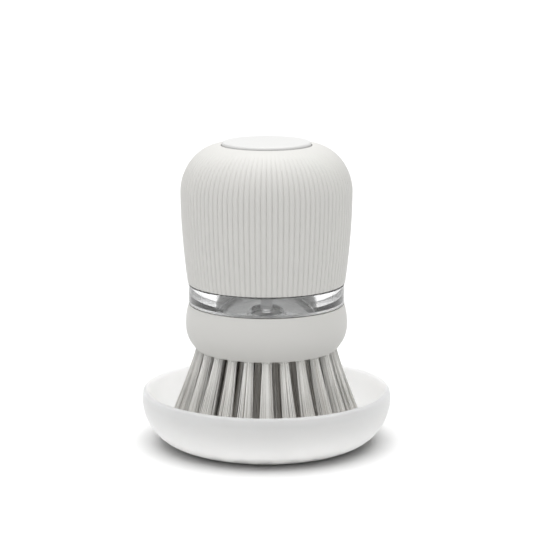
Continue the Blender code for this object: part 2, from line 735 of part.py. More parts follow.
def build_vent_valve(level, body):
    """A small rubber mushroom that lets air in as soap runs out."""
    head_top = VENT_HEAD_THICKNESS
    deck_top = head_top + SEAT_GAP + CAP_DECK + SEAT_GAP
    bulb_top = deck_top + VENT_BULB_HEIGHT
    outline = [
        (0, bulb_top), (VENT_STEM_RADIUS, bulb_top), (VENT_BULB_RADIUS, deck_top),
        (VENT_STEM_RADIUS, deck_top), (VENT_STEM_RADIUS, head_top),
        (VENT_HEAD_RADIUS, head_top), (VENT_STEM_RADIUS, 0), (0, 0),
    ]
    data = lathe("vent_valve", outline, SMALL_STEPS)
    valve = add_piece("vent_valve", data, "seal", level["deck"] - SEAT_GAP - head_top, body)
    valve.location.x = VENT_PLACE_RADIUS
    return valve


# Rod, clip and return spring

def build_push_rod(level, body):
    """A straight rod from the button to just above the valve, grooved for its clip."""
    base = level["rod_tip"]
    top = level["button_under"] - SEAT_GAP - base
    groove_top = level["guide"] - base
    groove_low = level["clip_top"] - CLIP_THICKNESS - SEAT_GAP - base
    groove = ROD_RADIUS - ROD_GROOVE_DEPTH
    outline = [
        (0, top), (ROD_RADIUS, top), (ROD_RADIUS, groove_top), (groove, groove_top),
        (groove, groove_low), (ROD_RADIUS, groove_low), (ROD_RADIUS, ROD_END_CHAMFER),
        (ROD_RADIUS - ROD_END_CHAMFER, 0), (0, 0),
    ]
    data = lathe("push_rod", outline, SMALL_STEPS)
    return add_piece("push_rod", data, "clear", base, body)


def build_rod_clip(level, body):
    """An open ring in the rod's groove, which stops the rod under the guide."""
    inner = ROD_RADIUS - ROD_GROOVE_DEPTH + SEAT_GAP
    section = block_outline(inner, inner + CLIP_WIDTH, 0, CLIP_THICKNESS)
    data = lathe("rod_clip", section, SMALL_STEPS, 1 - CLIP_GAP_SHARE)
    return add_piece("rod_clip", data, "spring_steel", level["clip_top"] - CLIP_THICKNESS, body)


def build_return_spring(level, body):
    """The coil between the cap's deck and the button."""
    base = level["deck_top"] + SEAT_GAP
    height = level["button_under"] - SEAT_GAP - base
    data = coil("return_spring", RETURN_COIL_RADIUS, RETURN_WIRE_RADIUS, height,
                RETURN_COIL_TURNS)
    return add_piece("return_spring", data, "spring_steel", base, body)


# Ribbed grip and button

def grip_side():
    """The grip's side from its foot to its widest point, without ribs."""
    foot = (GRIP_FOOT_RADIUS, 0)
    foot_handle = (GRIP_FOOT_RADIUS + GRIP_FOOT_LEAN, GRIP_FOOT_SWEEP)
    belly = (GRIP_BELLY_RADIUS, GRIP_BELLY_HEIGHT)
    belly_handle = (GRIP_BELLY_RADIUS, GRIP_BELLY_HEIGHT - GRIP_BELLY_SWEEP)
    return bezier(foot, foot_handle, belly_handle, belly, 3)


def grip_shoulder():
    """The grip's shoulder from its widest point to the plain ring round the button."""
    ring = BUTTON_RADIUS + BUTTON_CLEARANCE + GRIP_CROWN_RING
    belly = (GRIP_BELLY_RADIUS, GRIP_BELLY_HEIGHT)
    belly_handle = (GRIP_BELLY_RADIUS, GRIP_BELLY_HEIGHT + GRIP_SHOULDER_SWEEP)
    crown = (ring, GRIP_HEIGHT)
    crown_handle = (ring + GRIP_CROWN_SWEEP, GRIP_HEIGHT - GRIP_CROWN_FALL)
    return bezier(belly, belly_handle, crown_handle, crown, 4)


def ring_verts(mesh, radius, height, count, place_shares=(0.0,), dips=(0.0,)):
    """A closed ring of vertices. Within each repeat, a dip takes that much off the radius."""
    verts = []
    for index in range(count):
        for place, dip in zip(place_shares, dips):
            angle = TURN * (index + place) / count
            reach = radius - dip
            verts.append(mesh.verts.new((reach * math.cos(angle), reach * math.sin(angle), height)))
    return verts


def skin_rings(mesh, low, high):
    """A band of four-sided faces between two rings of as many vertices."""
    for a in range(len(low)):
        b = (a + 1) % len(low)
        mesh.faces.new((low[a], low[b], high[b], high[a]))


def fill_between(mesh, outer, inner):
    """A flat face round a hole, between two rings of unlike counts at one height."""
    edges = []
    for ring in (outer, inner):
        for a, b in zip(ring, ring[1:] + ring[:1]):
            edges.append(mesh.edges.get((a, b)))
    bmesh.ops.triangle_fill(mesh, edges=edges, use_beauty=True)


def build_grip(level, body):
    """A domed shell with fine ribs that run from its foot over its shoulder and fade out."""
    mesh = bmesh.new()
    side = grip_side()
    shoulder = grip_shoulder()
    skin = [side[0] + Vector((-GRIP_FOOT_ROUND, 0)), side[0] + Vector((0, GRIP_FOOT_ROUND))]
    skin += side[1:] + shoulder[1:]
    ribbed = []
    for index, point in enumerate(skin):
        depth = RIB_DEPTH if index < len(skin) - 1 else 0.0
        dips = [depth * dip for dip in RIB_DEPTH_SHARES]
        ribbed.append(ring_verts(mesh, point.x, point.y, RIB_COUNT, RIB_PLACE_SHARES, dips))
    for low, high in zip(ribbed, ribbed[1:]):
        skin_rings(mesh, low, high)

    hole = BUTTON_RADIUS + BUTTON_CLEARANCE
    sleeve = hole + SLEEVE_WALL
    rebate = rebate_radius()
    rebate_top = CAP_FLANGE_THICKNESS + SEAT_GAP
    wall = [point for point in offset(side + shoulder[1:], GRIP_WALL) if point.x > sleeve]
    wall = [point for point in wall if point.y > rebate_top]
    inside = [(rebate, 0), (rebate, rebate_top), (rebate - GRIP_REBATE_DEPTH, rebate_top)]
    inside += [tuple(point) for point in wall] + [(sleeve, GRIP_HEIGHT - GRIP_WALL)]
    inside += [(sleeve, GRIP_HEIGHT - SLEEVE_DROP), (hole, GRIP_HEIGHT - SLEEVE_DROP)]
    inside += [(hole, GRIP_HEIGHT)]
    plain = [ring_verts(mesh, radius, height, ROUND_STEPS) for radius, height in inside]
    for low, high in zip(plain, plain[1:]):
        skin_rings(mesh, low, high)
    fill_between(mesh, ribbed[0], plain[0])
    fill_between(mesh, ribbed[-1], plain[-1])
    data = close_mesh(mesh, "grip")
    return add_piece("grip", data, "warm_white", level["grip"], body)


def build_button(level, body):
    """A flat round button with a skirt that slides in the grip and a boss for the rod."""
    under = BUTTON_DEPTH - BUTTON_PLATE
    skirt_inner = BUTTON_RADIUS - BUTTON_WALL
    boss_inner = ROD_RADIUS + ROD_CLEARANCE
    boss_outer = boss_inner + BOSS_WALL
    boss_low = under - BOSS_DROP
    outline = [
        (0, BUTTON_DEPTH), (BUTTON_RADIUS, BUTTON_DEPTH, BUTTON_EDGE_RADIUS), (BUTTON_RADIUS, 0),
        (skirt_inner, 0), (skirt_inner, under), (boss_outer, under), (boss_outer, boss_low),
        (boss_inner, boss_low), (boss_inner, under), (0, under),
    ]
    data = lathe("button", fillet(outline), WIDE_STEPS)
    return add_piece("button", data, "warm_white", level["button"], body)


def build_brush():
    """Every piece, each under the empty of the body that it moves with."""
    for item in list(bpy.data.objects):
        bpy.data.objects.remove(item)
    level = stack_levels()
    build_tray(add_body("tray_body", 0))
    head = add_body("head_body", level["backing"])
    gasket = add_body("head_gasket_body", level["head_gasket"])
    reservoir = add_body("reservoir_body", level["reservoir"])
    valve = add_body("valve_body", level["valve_cap"])
    neck = add_body("neck_gasket_body", level["neck_gasket"])
    grip = add_body("grip_body", level["grip"])
    button = add_body("button_body", level["button"])
    build_collar(level, head)
    build_tuft_plate(level, head)
    build_bristles(level, head)
    build_head_gasket(level, gasket)
    build_reservoir(level, reservoir)
    build_valve_spring(level, reservoir)
    build_valve_stem(level, valve)
    build_valve_plug(level, valve)
    build_neck_gasket(level, neck)
    build_inner_cap(level, grip)
    build_rod_seal(level, grip)
    build_vent_valve(level, grip)
    build_grip(level, grip)
    build_return_spring(level, grip)
    build_push_rod(level, button)
    build_rod_clip(level, button)
    build_button(level, button)


build_brush()
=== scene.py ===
"""Soap dispensing dish brush standing in its round tray, dressed for the photograph's view.

Metres, +Z up, as the frame has it. The sections follow the brush as it is put together, from the
tray up to the push button. Each takes its piece's place from the frame, makes the fine surface
and its finish, and hands it to the body that carries it. Round sizes are radii.
"""

import math

import bpy
import numpy as np
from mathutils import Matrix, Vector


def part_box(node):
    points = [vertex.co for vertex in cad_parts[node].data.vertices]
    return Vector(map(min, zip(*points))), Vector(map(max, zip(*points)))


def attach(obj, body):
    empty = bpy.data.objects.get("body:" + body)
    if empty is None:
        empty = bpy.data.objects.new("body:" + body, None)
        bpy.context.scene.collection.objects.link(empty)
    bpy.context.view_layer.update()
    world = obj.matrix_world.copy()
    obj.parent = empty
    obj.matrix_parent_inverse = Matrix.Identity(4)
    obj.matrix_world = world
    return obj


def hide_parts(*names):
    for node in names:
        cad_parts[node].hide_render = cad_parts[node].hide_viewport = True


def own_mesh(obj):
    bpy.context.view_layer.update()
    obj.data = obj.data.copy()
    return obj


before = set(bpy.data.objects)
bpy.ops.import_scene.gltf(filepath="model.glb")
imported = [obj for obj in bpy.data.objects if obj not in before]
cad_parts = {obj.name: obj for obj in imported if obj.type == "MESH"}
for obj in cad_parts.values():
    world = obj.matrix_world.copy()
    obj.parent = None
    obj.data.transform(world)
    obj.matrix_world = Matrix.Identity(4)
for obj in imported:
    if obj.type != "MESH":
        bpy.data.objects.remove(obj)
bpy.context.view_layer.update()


# Table, light and camera
# A seamless white table under an even white sky. A broad soft lamp overhead and weaker ones in
# front and on the left keep the form of the pale plastic, over a soft shadow under the tray.

CAMERA_DISTANCE = 0.800
CAMERA_HEIGHT = 0.2303
CAMERA_PITCH = math.radians(11.25)
CAMERA_LENS = 138.8
CAMERA_NEAR = 0.01
TABLE_SIZE = 12.0
TABLE_WHITE_GIVEN = 0.90
TABLE_WHITE_SEEN = 0.755
SKY_LIGHT = 0.25
GLOSS_SHARE = 0.6
LAMPS = [
    ("lamp_overhead", 4.0, 70.0, (0.0, 0.0)),
    ("lamp_front", 0.18, 80.0, (58.0, -12.0)),
    ("lamp_left", 0.13, 60.0, (58.0, -80.0)),
]


class Amount:
    """A shader number or vector. Arithmetic on it adds Math nodes to its own node tree."""

    def __init__(self, finish, socket):
        self.finish = finish
        self.socket = socket

    def math(self, operation, first, second):
        return self.finish.node("ShaderNodeMath", {"operation": operation}, {0: first, 1: second})

    def __add__(self, other):
        return self.math("ADD", self, other)

    def __sub__(self, other):
        return self.math("SUBTRACT", self, other)

    def __mul__(self, other):
        return self.math("MULTIPLY", self, other)

    def __rsub__(self, other):
        return self.math("SUBTRACT", other, self)

    __radd__ = __add__
    __rmul__ = __mul__

    def at_most(self, other):
        return self.math("MINIMUM", self, other)

    def above(self, other):
        return self.math("GREATER_THAN", self, other)


class Finish:
    """A material or world while it is made. One method adds any node and links its sockets."""

    def __init__(self, owner):
        self.owner = owner
        owner.use_nodes = True
        self.tree = owner.node_tree

    def node(self, kind, settings=None, inputs=None, output=0):
        """Add a node with its settings set first, then the values or links of its sockets."""
        added = self.tree.nodes.new(kind)
        for key, value in (settings or {}).items():
            setattr(added, key, value)
        for key, value in (inputs or {}).items():
            self.join(added.inputs[key], value)
        return Amount(self, added.outputs[output])

    def join(self, socket, value):
        """Link an amount to a socket, or set the socket to a plain value."""
        if isinstance(value, Amount):
            self.tree.links.new(value.socket, socket)
        else:
            socket.default_value = value

    def blend(self, share, first, second):
        """A colour between two colours: the first at a share of 0, the second at 1."""
        return self.node("ShaderNodeMix", {"data_type": "RGBA"},
                         {"Factor": share, 6: first, 7: second}, 2)

    def noise(self, place, scale, detail, roughness=0.5):
        """An even noise from 0 to 1, with scale spots to the metre."""
        return self.node("ShaderNodeTexNoise", None, {"Vector": place, "Scale": scale,
                                                      "Detail": detail, "Roughness": roughness})

    def set(self, name, value):
        """Join a value or an amount to a socket of the material's main shader."""
        self.join(self.tree.nodes["Principled BSDF"].inputs[name], value)

    def bump(self, height, strength, distance):
        """Raise the skin by a height from 0 to 1, times a distance in metres."""
        self.set("Normal", self.node("ShaderNodeBump", None, {
            "Strength": strength, "Distance": distance, "Height": height}))


def seen_share(finish):
    """1 for rays that show a thing straight or through glass, less in a gloss, 0 for its light."""
    straight = finish.node("ShaderNodeLightPath", output="Is Camera Ray")
    glass = finish.node("ShaderNodeLightPath", output="Is Transmission Ray")
    gloss = finish.node("ShaderNodeLightPath", output="Is Glossy Ray")
    return (straight + glass + gloss * GLOSS_SHARE).at_most(1.0)


def grey(tone):
    """An even grey as a colour."""
    return (tone, tone, tone, 1)


def make_table():
    """One wide flat face. It gives back the light of a brighter white than the one it is seen in,
    so that the brush is lit from below and the shadow still has its depth."""
    half = TABLE_SIZE / 2
    corners = [(-half, -half, 0), (half, -half, 0), (half, half, 0), (-half, half, 0)]
    mesh = bpy.data.meshes.new("table")
    mesh.from_pydata(corners, [], [(0, 1, 2, 3)])
    table = bpy.data.objects.new("table", mesh)
    bpy.context.scene.collection.objects.link(table)
    finish = Finish(bpy.data.materials.new("table_white"))
    tone = finish.blend(seen_share(finish), grey(TABLE_WHITE_GIVEN), grey(TABLE_WHITE_SEEN))
    matt = finish.node("ShaderNodeBsdfDiffuse", None, {"Color": tone})
    finish.join(finish.tree.nodes["Material Output"].inputs["Surface"], matt)
    mesh.materials.append(finish.owner)


def make_sky():
    """An even white sky: full white where it is seen, and SKY_LIGHT where it lights."""
    world = bpy.data.worlds.new("sky")
    bpy.context.scene.world = world
    finish = Finish(world)
    strength = SKY_LIGHT + seen_share(finish) * (1.0 - SKY_LIGHT)
    background = finish.tree.nodes["Background"].inputs
    finish.join(background["Color"], grey(1))
    finish.join(background["Strength"], strength)


def make_lamp(name, strength, spread, turn):
    """A broad far lamp: its spread and its turn about X and then Z are in degrees."""
    lamp = bpy.data.lights.new(name, "SUN")
    lamp.energy = strength
    lamp.angle = math.radians(spread)
    holder = bpy.data.objects.new(name, lamp)
    holder.rotation_euler = (math.radians(turn[0]), 0, math.radians(turn[1]))
    bpy.context.scene.collection.objects.link(holder)


def make_camera():
    """A long lens level with the eye of someone at the table, tipped down by CAMERA_PITCH."""
    lens = bpy.data.cameras.new("camera")
    lens.lens = CAMERA_LENS
    lens.clip_start = CAMERA_NEAR
    camera = bpy.data.objects.new("camera", lens)
    camera.location = (0, -CAMERA_DISTANCE, CAMERA_HEIGHT)
    camera.rotation_euler = (math.pi / 2 - CAMERA_PITCH, 0, 0)
    bpy.context.scene.collection.objects.link(camera)
    bpy.context.scene.camera = camera


make_table()
make_sky()
for lamp_facts in LAMPS:
    make_lamp(*lamp_facts)
make_camera()
bpy.context.scene.view_settings.view_transform = "Standard"


# Tray
# A shallow round dish, moulded in one wall of white plastic with a satin skin. It stands on a
# flat ring, its foot sweeps out into a full belly, and its rim is rounded over.

TRAY_FOOT = 0.03235
TRAY_BELLY_HEIGHT = 0.0186
TRAY_RIM_LEAN = 0.00035
TRAY_WALL = 0.0024
TRAY_FOOT_SWEEP = 0.01066
TRAY_BELLY_SWEEP = 0.00956
TRAY_RECESS = 0.0262
TRAY_RECESS_DEPTH = 0.0006
TRAY_WHITE = (0.79, 0.788, 0.776, 1)
TRAY_SOAK = 0.045
TRAY_RIM_POINTS = 15
SOAK_BY_COLOUR = (1.0, 0.97, 0.92)
SMALL_EDGE = 0.0003
CREASE = math.radians(38)
ROUNDING_ROOM = 0.49
PLASTIC_IOR = 1.49
SKIN_GLOSS = 0.25
MELT_DRIFT = 45.0
DRIFT_DEPTH = 0.965
DRIFT_SHINE = 0.06
PIT_SHINE = 0.04
PIT_STRENGTH = 0.5


def curve_between(start, start_handle, end_handle, end, count):
    """Points of a cubic curve: its four given points weighted by s^3, 3s^2t, 3st^2 and t^3."""
    t = np.linspace(0, 1, count)[:, None]
    s = 1 - t
    first = s**3 * np.array(start) + 3 * s**2 * t * np.array(start_handle)
    return first + 3 * s * t**2 * np.array(end_handle) + t**3 * np.array(end)


def beside(points, distance):
    """The same line moved sideways by a distance, to the left of its own direction."""
    along = np.gradient(points, axis=0)
    along /= np.linalg.norm(along, axis=1)[:, None]
    return points + distance * np.stack((-along[:, 1], along[:, 0]), axis=1)


def softened(corners, steps=6):
    """An outline of corners (radius, height, rounding). Each rounding is an arc that touches both
    sides: its centre lies on the corner's bisector, at rounding / sin(half angle), and from the
    first touch it turns through pi less the corner's angle. It takes up no more of the shorter
    side than ROUNDING_ROOM."""
    spots = np.array([corner[:2] for corner in corners], float)
    lines = []
    for index, corner in enumerate(corners):
        if len(corner) == 2:
            lines.append(spots[index][None])
            continue
        before = spots[index - 1] - spots[index]
        after = spots[(index + 1) % len(corners)] - spots[index]
        room = min(np.linalg.norm(before), np.linalg.norm(after)) * ROUNDING_ROOM
        before /= np.linalg.norm(before)
        after /= np.linalg.norm(after)
        half = math.acos(np.clip(before @ after, -1, 1)) / 2
        size = min(corner[2], room * math.tan(half))
        bisector = (before + after) / np.linalg.norm(before + after)
        centre = spots[index] + bisector * size / math.sin(half)
        first = spots[index] + before * size / math.tan(half) - centre
        turn = np.linspace(0, math.pi - 2 * half, steps + 1)[:, None]
        lines.append(centre + first * np.cos(turn) - before * size * np.sin(turn))
    return np.concatenate(lines)


def skin(name, grid, ends=None):
    """A mesh through grid[k, i, j]: strip k, row i round or along it, column j round each row.
    Columns close on themselves. Rows do too, unless ends[k] gives the two points that cap them."""
    strips, rows, columns = grid.shape[:3]
    points = grid.reshape(strips, rows * columns, 3)
    steps = rows if ends is None else rows - 1
    i, j = np.meshgrid(np.arange(steps), np.arange(columns), indexing="ij")
    up, on = (i + 1) % rows, (j + 1) % columns
    quads = np.stack((i * columns + j, i * columns + on, up * columns + on, up * columns + j), 2)
    quads = quads.reshape(-1, 4)
    stride = rows * columns
    fans = np.zeros((0, 3), int)
    if ends is not None:
        points = np.concatenate((points, ends), axis=1)
        stride += 2
        j, on = np.arange(columns), (np.arange(columns) + 1) % columns
        low = np.stack((on, j, np.full(columns, rows * columns)), 1)
        high = np.stack((j, on, np.full(columns, rows * columns + 1)), 1)
        high[:, :2] += (rows - 1) * columns
        fans = np.concatenate((low, high))
    shift = (np.arange(strips) * stride)[:, None, None]
    faces = (quads + shift).reshape(-1, 4).tolist() + (fans + shift).reshape(-1, 3).tolist()
    mesh = bpy.data.meshes.new(name)
    mesh.from_pydata(points.reshape(-1, 3).tolist(), [], faces)
    mesh.shade_smooth()
    mesh.set_sharp_from_angle(angle=CREASE)
    piece = bpy.data.objects.new(name, mesh)
    bpy.context.scene.collection.objects.link(piece)
    return piece


def turned(name, outline, columns=256, radius=None, place=(0, 0)):
    """A surface of revolution: the outline's points (radius, height) at angles 2 pi j / columns.
    radius[i, j] may stand in for the outline's own. An outline from axis to axis gets poles."""
    outline = np.asarray(outline, float)
    if radius is None:
        radius = np.repeat(outline[:, :1], columns, axis=1)
    r, z = outline.T
    if np.sum(r * np.roll(z, -1) - np.roll(r, -1) * z) < 0:
        outline, radius = outline[::-1], radius[::-1]
    angle = 2 * np.pi * np.arange(columns) / columns
    height = np.repeat(outline[:, 1:], columns, axis=1)
    grid = np.stack((radius * np.cos(angle), radius * np.sin(angle), height), axis=2)
    grid += np.array((place[0], place[1], 0))
    if outline[0, 0] > 0 or outline[-1, 0] > 0:
        return skin(name, grid[None])
    poles = np.array([[(*place, outline[0, 1]), (*place, outline[-1, 1])]])
    return skin(name, grid[None, 1:-1], poles)


def dress(name, ior=1.5):
    """A new material: its finish, and the coordinates in metres that its patterns follow."""
    finish = Finish(bpy.data.materials.new(name))
    finish.set("IOR", ior)
    return finish, finish.node("ShaderNodeTexCoord", output="Object")


def moulded(name, colour, roughness, grain, depth, soak=0.0):
    """Injection-moulded plastic: a spark-eroded grain of fine pits, a skin that shines unevenly
    where the melt cooled, and a trace of colour drift. grain is the pits' size in metres, and soak
    is how far light goes into a plastic that lets some of it through."""
    finish, place = dress(name, PLASTIC_IOR)
    pits = finish.noise(place, 1 / grain, detail=2.0, roughness=0.6)
    drift = finish.noise(place, MELT_DRIFT, detail=3.0)
    deeper = tuple(value * DRIFT_DEPTH for value in colour[:3]) + (1,)
    finish.set("Base Color", finish.blend(drift, colour, deeper))
    mean_shine = (DRIFT_SHINE + PIT_SHINE) / 2
    finish.set("Roughness", roughness - mean_shine + drift * DRIFT_SHINE + pits * PIT_SHINE)
    finish.bump(pits, PIT_STRENGTH, depth)
    finish.set("Specular IOR Level", SKIN_GLOSS)
    if soak:
        finish.set("Subsurface Weight", 1.0)
        finish.set("Subsurface Radius", SOAK_BY_COLOUR)
        finish.set("Subsurface Scale", soak)
    return finish.owner


def hand_over(piece, material, slot, body, *nodes):
    """Give a piece its material, its body and the solids that it stands for.
    The slot is not used.
    """
    piece.data.materials.append(material)
    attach(piece, body)
    if nodes:
        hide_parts(*nodes)


def tray_outline():
    """The dish's section: inside from the axis up, over the rim, down the outside to the foot."""
    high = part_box("tray")[1]
    rim = high.x - TRAY_RIM_LEAN
    outside = curve_between((TRAY_FOOT, 0), (TRAY_FOOT + TRAY_FOOT_SWEEP, 0),
                            (high.x, TRAY_BELLY_HEIGHT - TRAY_BELLY_SWEEP),
                            (high.x, TRAY_BELLY_HEIGHT), count=44)
    inside = beside(outside, TRAY_WALL)
    turn = np.linspace(math.pi, 0, TRAY_RIM_POINTS)[:, None]
    crest = np.array((rim - TRAY_WALL / 2, high.z - TRAY_WALL / 2))
    lip = crest + TRAY_WALL / 2 * np.concatenate((np.cos(turn), np.sin(turn)), axis=1)
    floor = np.array([(0, TRAY_WALL), (TRAY_FOOT / 2, TRAY_WALL)])
    foot = [(TRAY_FOOT, 0), (TRAY_RECESS, 0, SMALL_EDGE),
            (TRAY_RECESS - TRAY_RECESS_DEPTH, TRAY_RECESS_DEPTH, SMALL_EDGE),
            (0, TRAY_RECESS_DEPTH)]
    return np.concatenate((floor, inside, lip, outside[::-1], softened(foot)[1:]))


tray_plastic = moulded("tray_plastic", TRAY_WHITE, roughness=0.42, grain=0.00035,
                       depth=0.000012, soak=TRAY_SOAK)
tray = turned("tray_dish", tray_outline())
hand_over(tray, tray_plastic, "tray_plastic", "tray", "tray")


# Collar
# The barrel-shaped ring of the brush head, moulded in warm white plastic. Its lower edge tucks in
# over the roots of the tufts, and a ledge and a bead inside hold the plate.

COLLAR_TOP = 0.0310
COLLAR_LIP = 0.02835
COLLAR_LIP_WIDTH = 0.00045
COLLAR_BELLY_HEIGHT = 0.0096
COLLAR_BELLY_SWEEP = 0.0045
COLLAR_LIP_SWEEP = 0.0022
COLLAR_LIP_RISE = 0.0026
COLLAR_WALL = 0.0022
COLLAR_EDGE = 0.0004
COLLAR_BORE_CURVE = 0.004
BEAD_RISE = 0.0026
BEAD_DEPTH = 0.0004
BEAD_WIDTH = 0.0009
CRISP_EDGE = 0.0001
FINE_EDGE = 0.0002
SEAT_GAP = 0.0003
BODY_WHITE = (0.58, 0.575, 0.555, 1)


def collar_outline():
    """The barrel's section: outside from the top down, under the lip and back up the inside."""
    low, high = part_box("collar")
    base, top, belly_radius = low.z, high.z, high.x
    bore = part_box("tuft_plate")[1].x + SEAT_GAP
    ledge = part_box("bristles_front")[1].z + SEAT_GAP / 2
    bead = ledge + BEAD_RISE
    belly = (belly_radius, base + COLLAR_BELLY_HEIGHT)
    upper = curve_between((COLLAR_TOP, top - COLLAR_EDGE), (COLLAR_TOP, top - COLLAR_EDGE),
                          (belly_radius, belly[1] + COLLAR_BELLY_SWEEP), belly, count=18)
    lower = curve_between(belly, (belly_radius, belly[1] - COLLAR_BELLY_SWEEP),
                          (COLLAR_LIP + COLLAR_LIP_SWEEP, base + COLLAR_LIP_RISE),
                          (COLLAR_LIP, base), count=30)
    edge = softened([(COLLAR_TOP - COLLAR_WALL, top), (COLLAR_TOP, top, COLLAR_EDGE),
                     (COLLAR_TOP, top - 2 * COLLAR_EDGE)])[1:-1]
    lip_inner = COLLAR_LIP - COLLAR_LIP_WIDTH
    inside = softened([
        (COLLAR_LIP, base), (lip_inner, base, CRISP_EDGE), (lip_inner, ledge, FINE_EDGE),
        (bore, ledge), (bore, bead), (bore - BEAD_DEPTH, bead + BEAD_WIDTH / 2, FINE_EDGE),
        (bore, bead + BEAD_WIDTH, SMALL_EDGE),
        (belly_radius - COLLAR_WALL, base + COLLAR_BELLY_HEIGHT, COLLAR_BORE_CURVE),
        (COLLAR_TOP - COLLAR_WALL, top, COLLAR_EDGE), (COLLAR_TOP, top),
    ])[1:-1]
    return np.concatenate((edge, upper[1:], lower[1:], inside))


body_plastic = moulded("body_plastic", BODY_WHITE, roughness=0.50, grain=0.00030, depth=0.000014)
collar = turned("collar_ring", collar_outline())
hand_over(collar, body_plastic, "body_plastic", "head", "collar")


# Tuft plate
# The disc inside the collar, moulded in a whiter plastic, painted whiter still as painted light
# for the light that reaches it through the clear cup. It carries the backing of the tufts,
# with the soap spout below and the reservoir's socket above, braced by fins.

SPOUT_BORE = 0.0050
SPOUT_WALL = 0.0016
PLATE_THICKNESS = 0.0020
SOCKET_BORE = 0.0085
SOCKET_WALL = 0.0018
FIN_COUNT = 6
FIN_WIDTH = 0.0014
FIN_HEIGHT = 0.0030
FIN_MARGIN = 0.0012
FIN_SINK = 0.0004
FIN_CROWN = 0.2
FIN_BLUNTNESS = 0.05
FIN_ROWS = 12
FIN_CREST_POINTS = 11
SOFT_EDGE = 0.0004
FULL_EDGE = 0.0005
# The plate's white, painted lighter as painted light for the light reaching it through the clear
# cup.
PLATE_WHITE_WITH_PAINTED_LIGHT = (0.90, 0.897, 0.88, 1)


def fins(name, base, near, far):
    """Radial fins: row i goes outward, and column j round a section with a rounded crest."""
    along = np.linspace(0, 1, FIN_ROWS)
    reach = near + (far - near) * along
    crest = base + FIN_HEIGHT * np.minimum(1, (far - reach) / FIN_HEIGHT + FIN_BLUNTNESS)
    turn = np.linspace(0, math.pi, FIN_CREST_POINTS)
    half = FIN_WIDTH / 2
    side = np.concatenate(([half], half * np.cos(turn), [-half]))
    lift = np.concatenate(([0], 1 - FIN_CROWN + FIN_CROWN * np.sin(turn), [0]))
    height = base - FIN_SINK + (crest[:, None] - base + FIN_SINK) * lift[None]
    strips = []
    ends = []
    for index in range(FIN_COUNT):
        angle = 2 * math.pi * (index + 0.5) / FIN_COUNT
        out = np.array((math.cos(angle), math.sin(angle)))
        across = np.array((-out[1], out[0]))
        flat = reach[:, None, None] * out + side[None, :, None] * across
        grid = np.concatenate((flat, height[:, :, None]), axis=2)
        strips.append(grid)
        ends.append((grid[0].mean(axis=0), grid[-1].mean(axis=0)))
    return skin(name, np.array(strips), np.array(ends))


def plate_outline():
    """The plate's section, with the spout's and the socket's tubes."""
    low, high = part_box("tuft_plate")
    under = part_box("bristles_front")[1].z + SEAT_GAP
    top = under + PLATE_THICKNESS
    socket = SOCKET_BORE + SOCKET_WALL
    spout = SPOUT_BORE + SPOUT_WALL
    return softened([
        (socket, high.z, SMALL_EDGE), (socket, top, FULL_EDGE), (high.x, top, SOFT_EDGE),
        (high.x, under, SOFT_EDGE), (spout, under, SMALL_EDGE), (spout, low.z, SMALL_EDGE),
        (SPOUT_BORE, low.z, SMALL_EDGE), (SPOUT_BORE, top, SMALL_EDGE), (SOCKET_BORE, top),
        (SOCKET_BORE, high.z, SMALL_EDGE),
    ])


plate = turned("tuft_plate_disc", plate_outline(), columns=160)
plate_plastic_painted_light = moulded("plate_plastic_painted_light", PLATE_WHITE_WITH_PAINTED_LIGHT, roughness=0.50, grain=0.00030,
                        depth=0.000012)
hand_over(plate, plate_plastic_painted_light, "tray_plastic", "head", "tuft_plate")
plate_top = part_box("bristles_front")[1].z + SEAT_GAP + PLATE_THICKNESS
plate_fins = fins("tuft_plate_fins", plate_top, SOCKET_BORE + SOCKET_WALL - SMALL_EDGE,
                  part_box("tuft_plate")[1].x - FIN_MARGIN)
hand_over(plate_fins, plate_plastic_painted_light, "tray_plastic", "head")


# Tufts and their backing
# Splayed tufts of grey nylon filament in three rings, by quarters of the head. Each tuft is a
# bundle stapled into a short moulded socket of the backing, and fans out to a flat trimmed tip.
# Each ring has its radius, its tufts in a quarter, their filaments, and a painted shade from dark
# to light: the outer ring is left light, and the rings behind it are painted darker as shade.

TUFT_QUARTERS = ("front", "right", "back", "left")
TUFT_START = math.radians(-142.5)
# The last number of each ring is its painted shade, from 0 for deep shade to 1 for light.
TUFT_RINGS = [(0.0259, 6, 56, 0.84), (0.0194, 5, 42, 0.36), (0.0129, 3, 38, 0.10)]
TUFT_SPLAY_SHARE = 0.415
TUFT_ROOT = 0.00165
TUFT_TIP = 0.00345
TUFT_LEAN = 0.00045
TUFT_FLARE = 1.12
FILAMENT_RADIUS = 0.00018
FILAMENT_BOW = 0.00022
FILAMENT_SIDES = 5
FILAMENT_ROWS = 8
TIP_SHAKE = 0.00013
TIP_UNEVEN = 0.00035
BACKING_INNER = 0.0069
BACKING_OUTER = 0.0276
SOCKET_RIM = 0.00205
SOCKET_DROP = 0.00085
SOCKET_COLUMNS = 28
NYLON_IOR = 1.53
NYLON_ROUGHNESS = 0.40
NYLON_LIGHT = (0.97, 0.965, 0.94, 1)
# The dark nylon colour is painted shade for the filaments deep in the head.
NYLON_SHADED = (0.41, 0.38, 0.34, 1)
TONE_SPREAD = 0.20
STREAKS = 5200.0
STREAK_STRETCH = 0.12
STREAK_TONE = 0.3
STREAK_SHINE = 0.16
GOLDEN_TURN = math.pi * (3 - math.sqrt(5))
DRAW_SEED = 7
draw = np.random.default_rng(DRAW_SEED)


def tuft_angles(tufts, quarters, first=0):
    """Angles of the tufts of one ring, evenly spaced over some quarters from the first one on."""
    spot = np.arange(tufts * quarters) + 0.5
    return TUFT_START + np.pi / 2 * (first + spot / tufts)


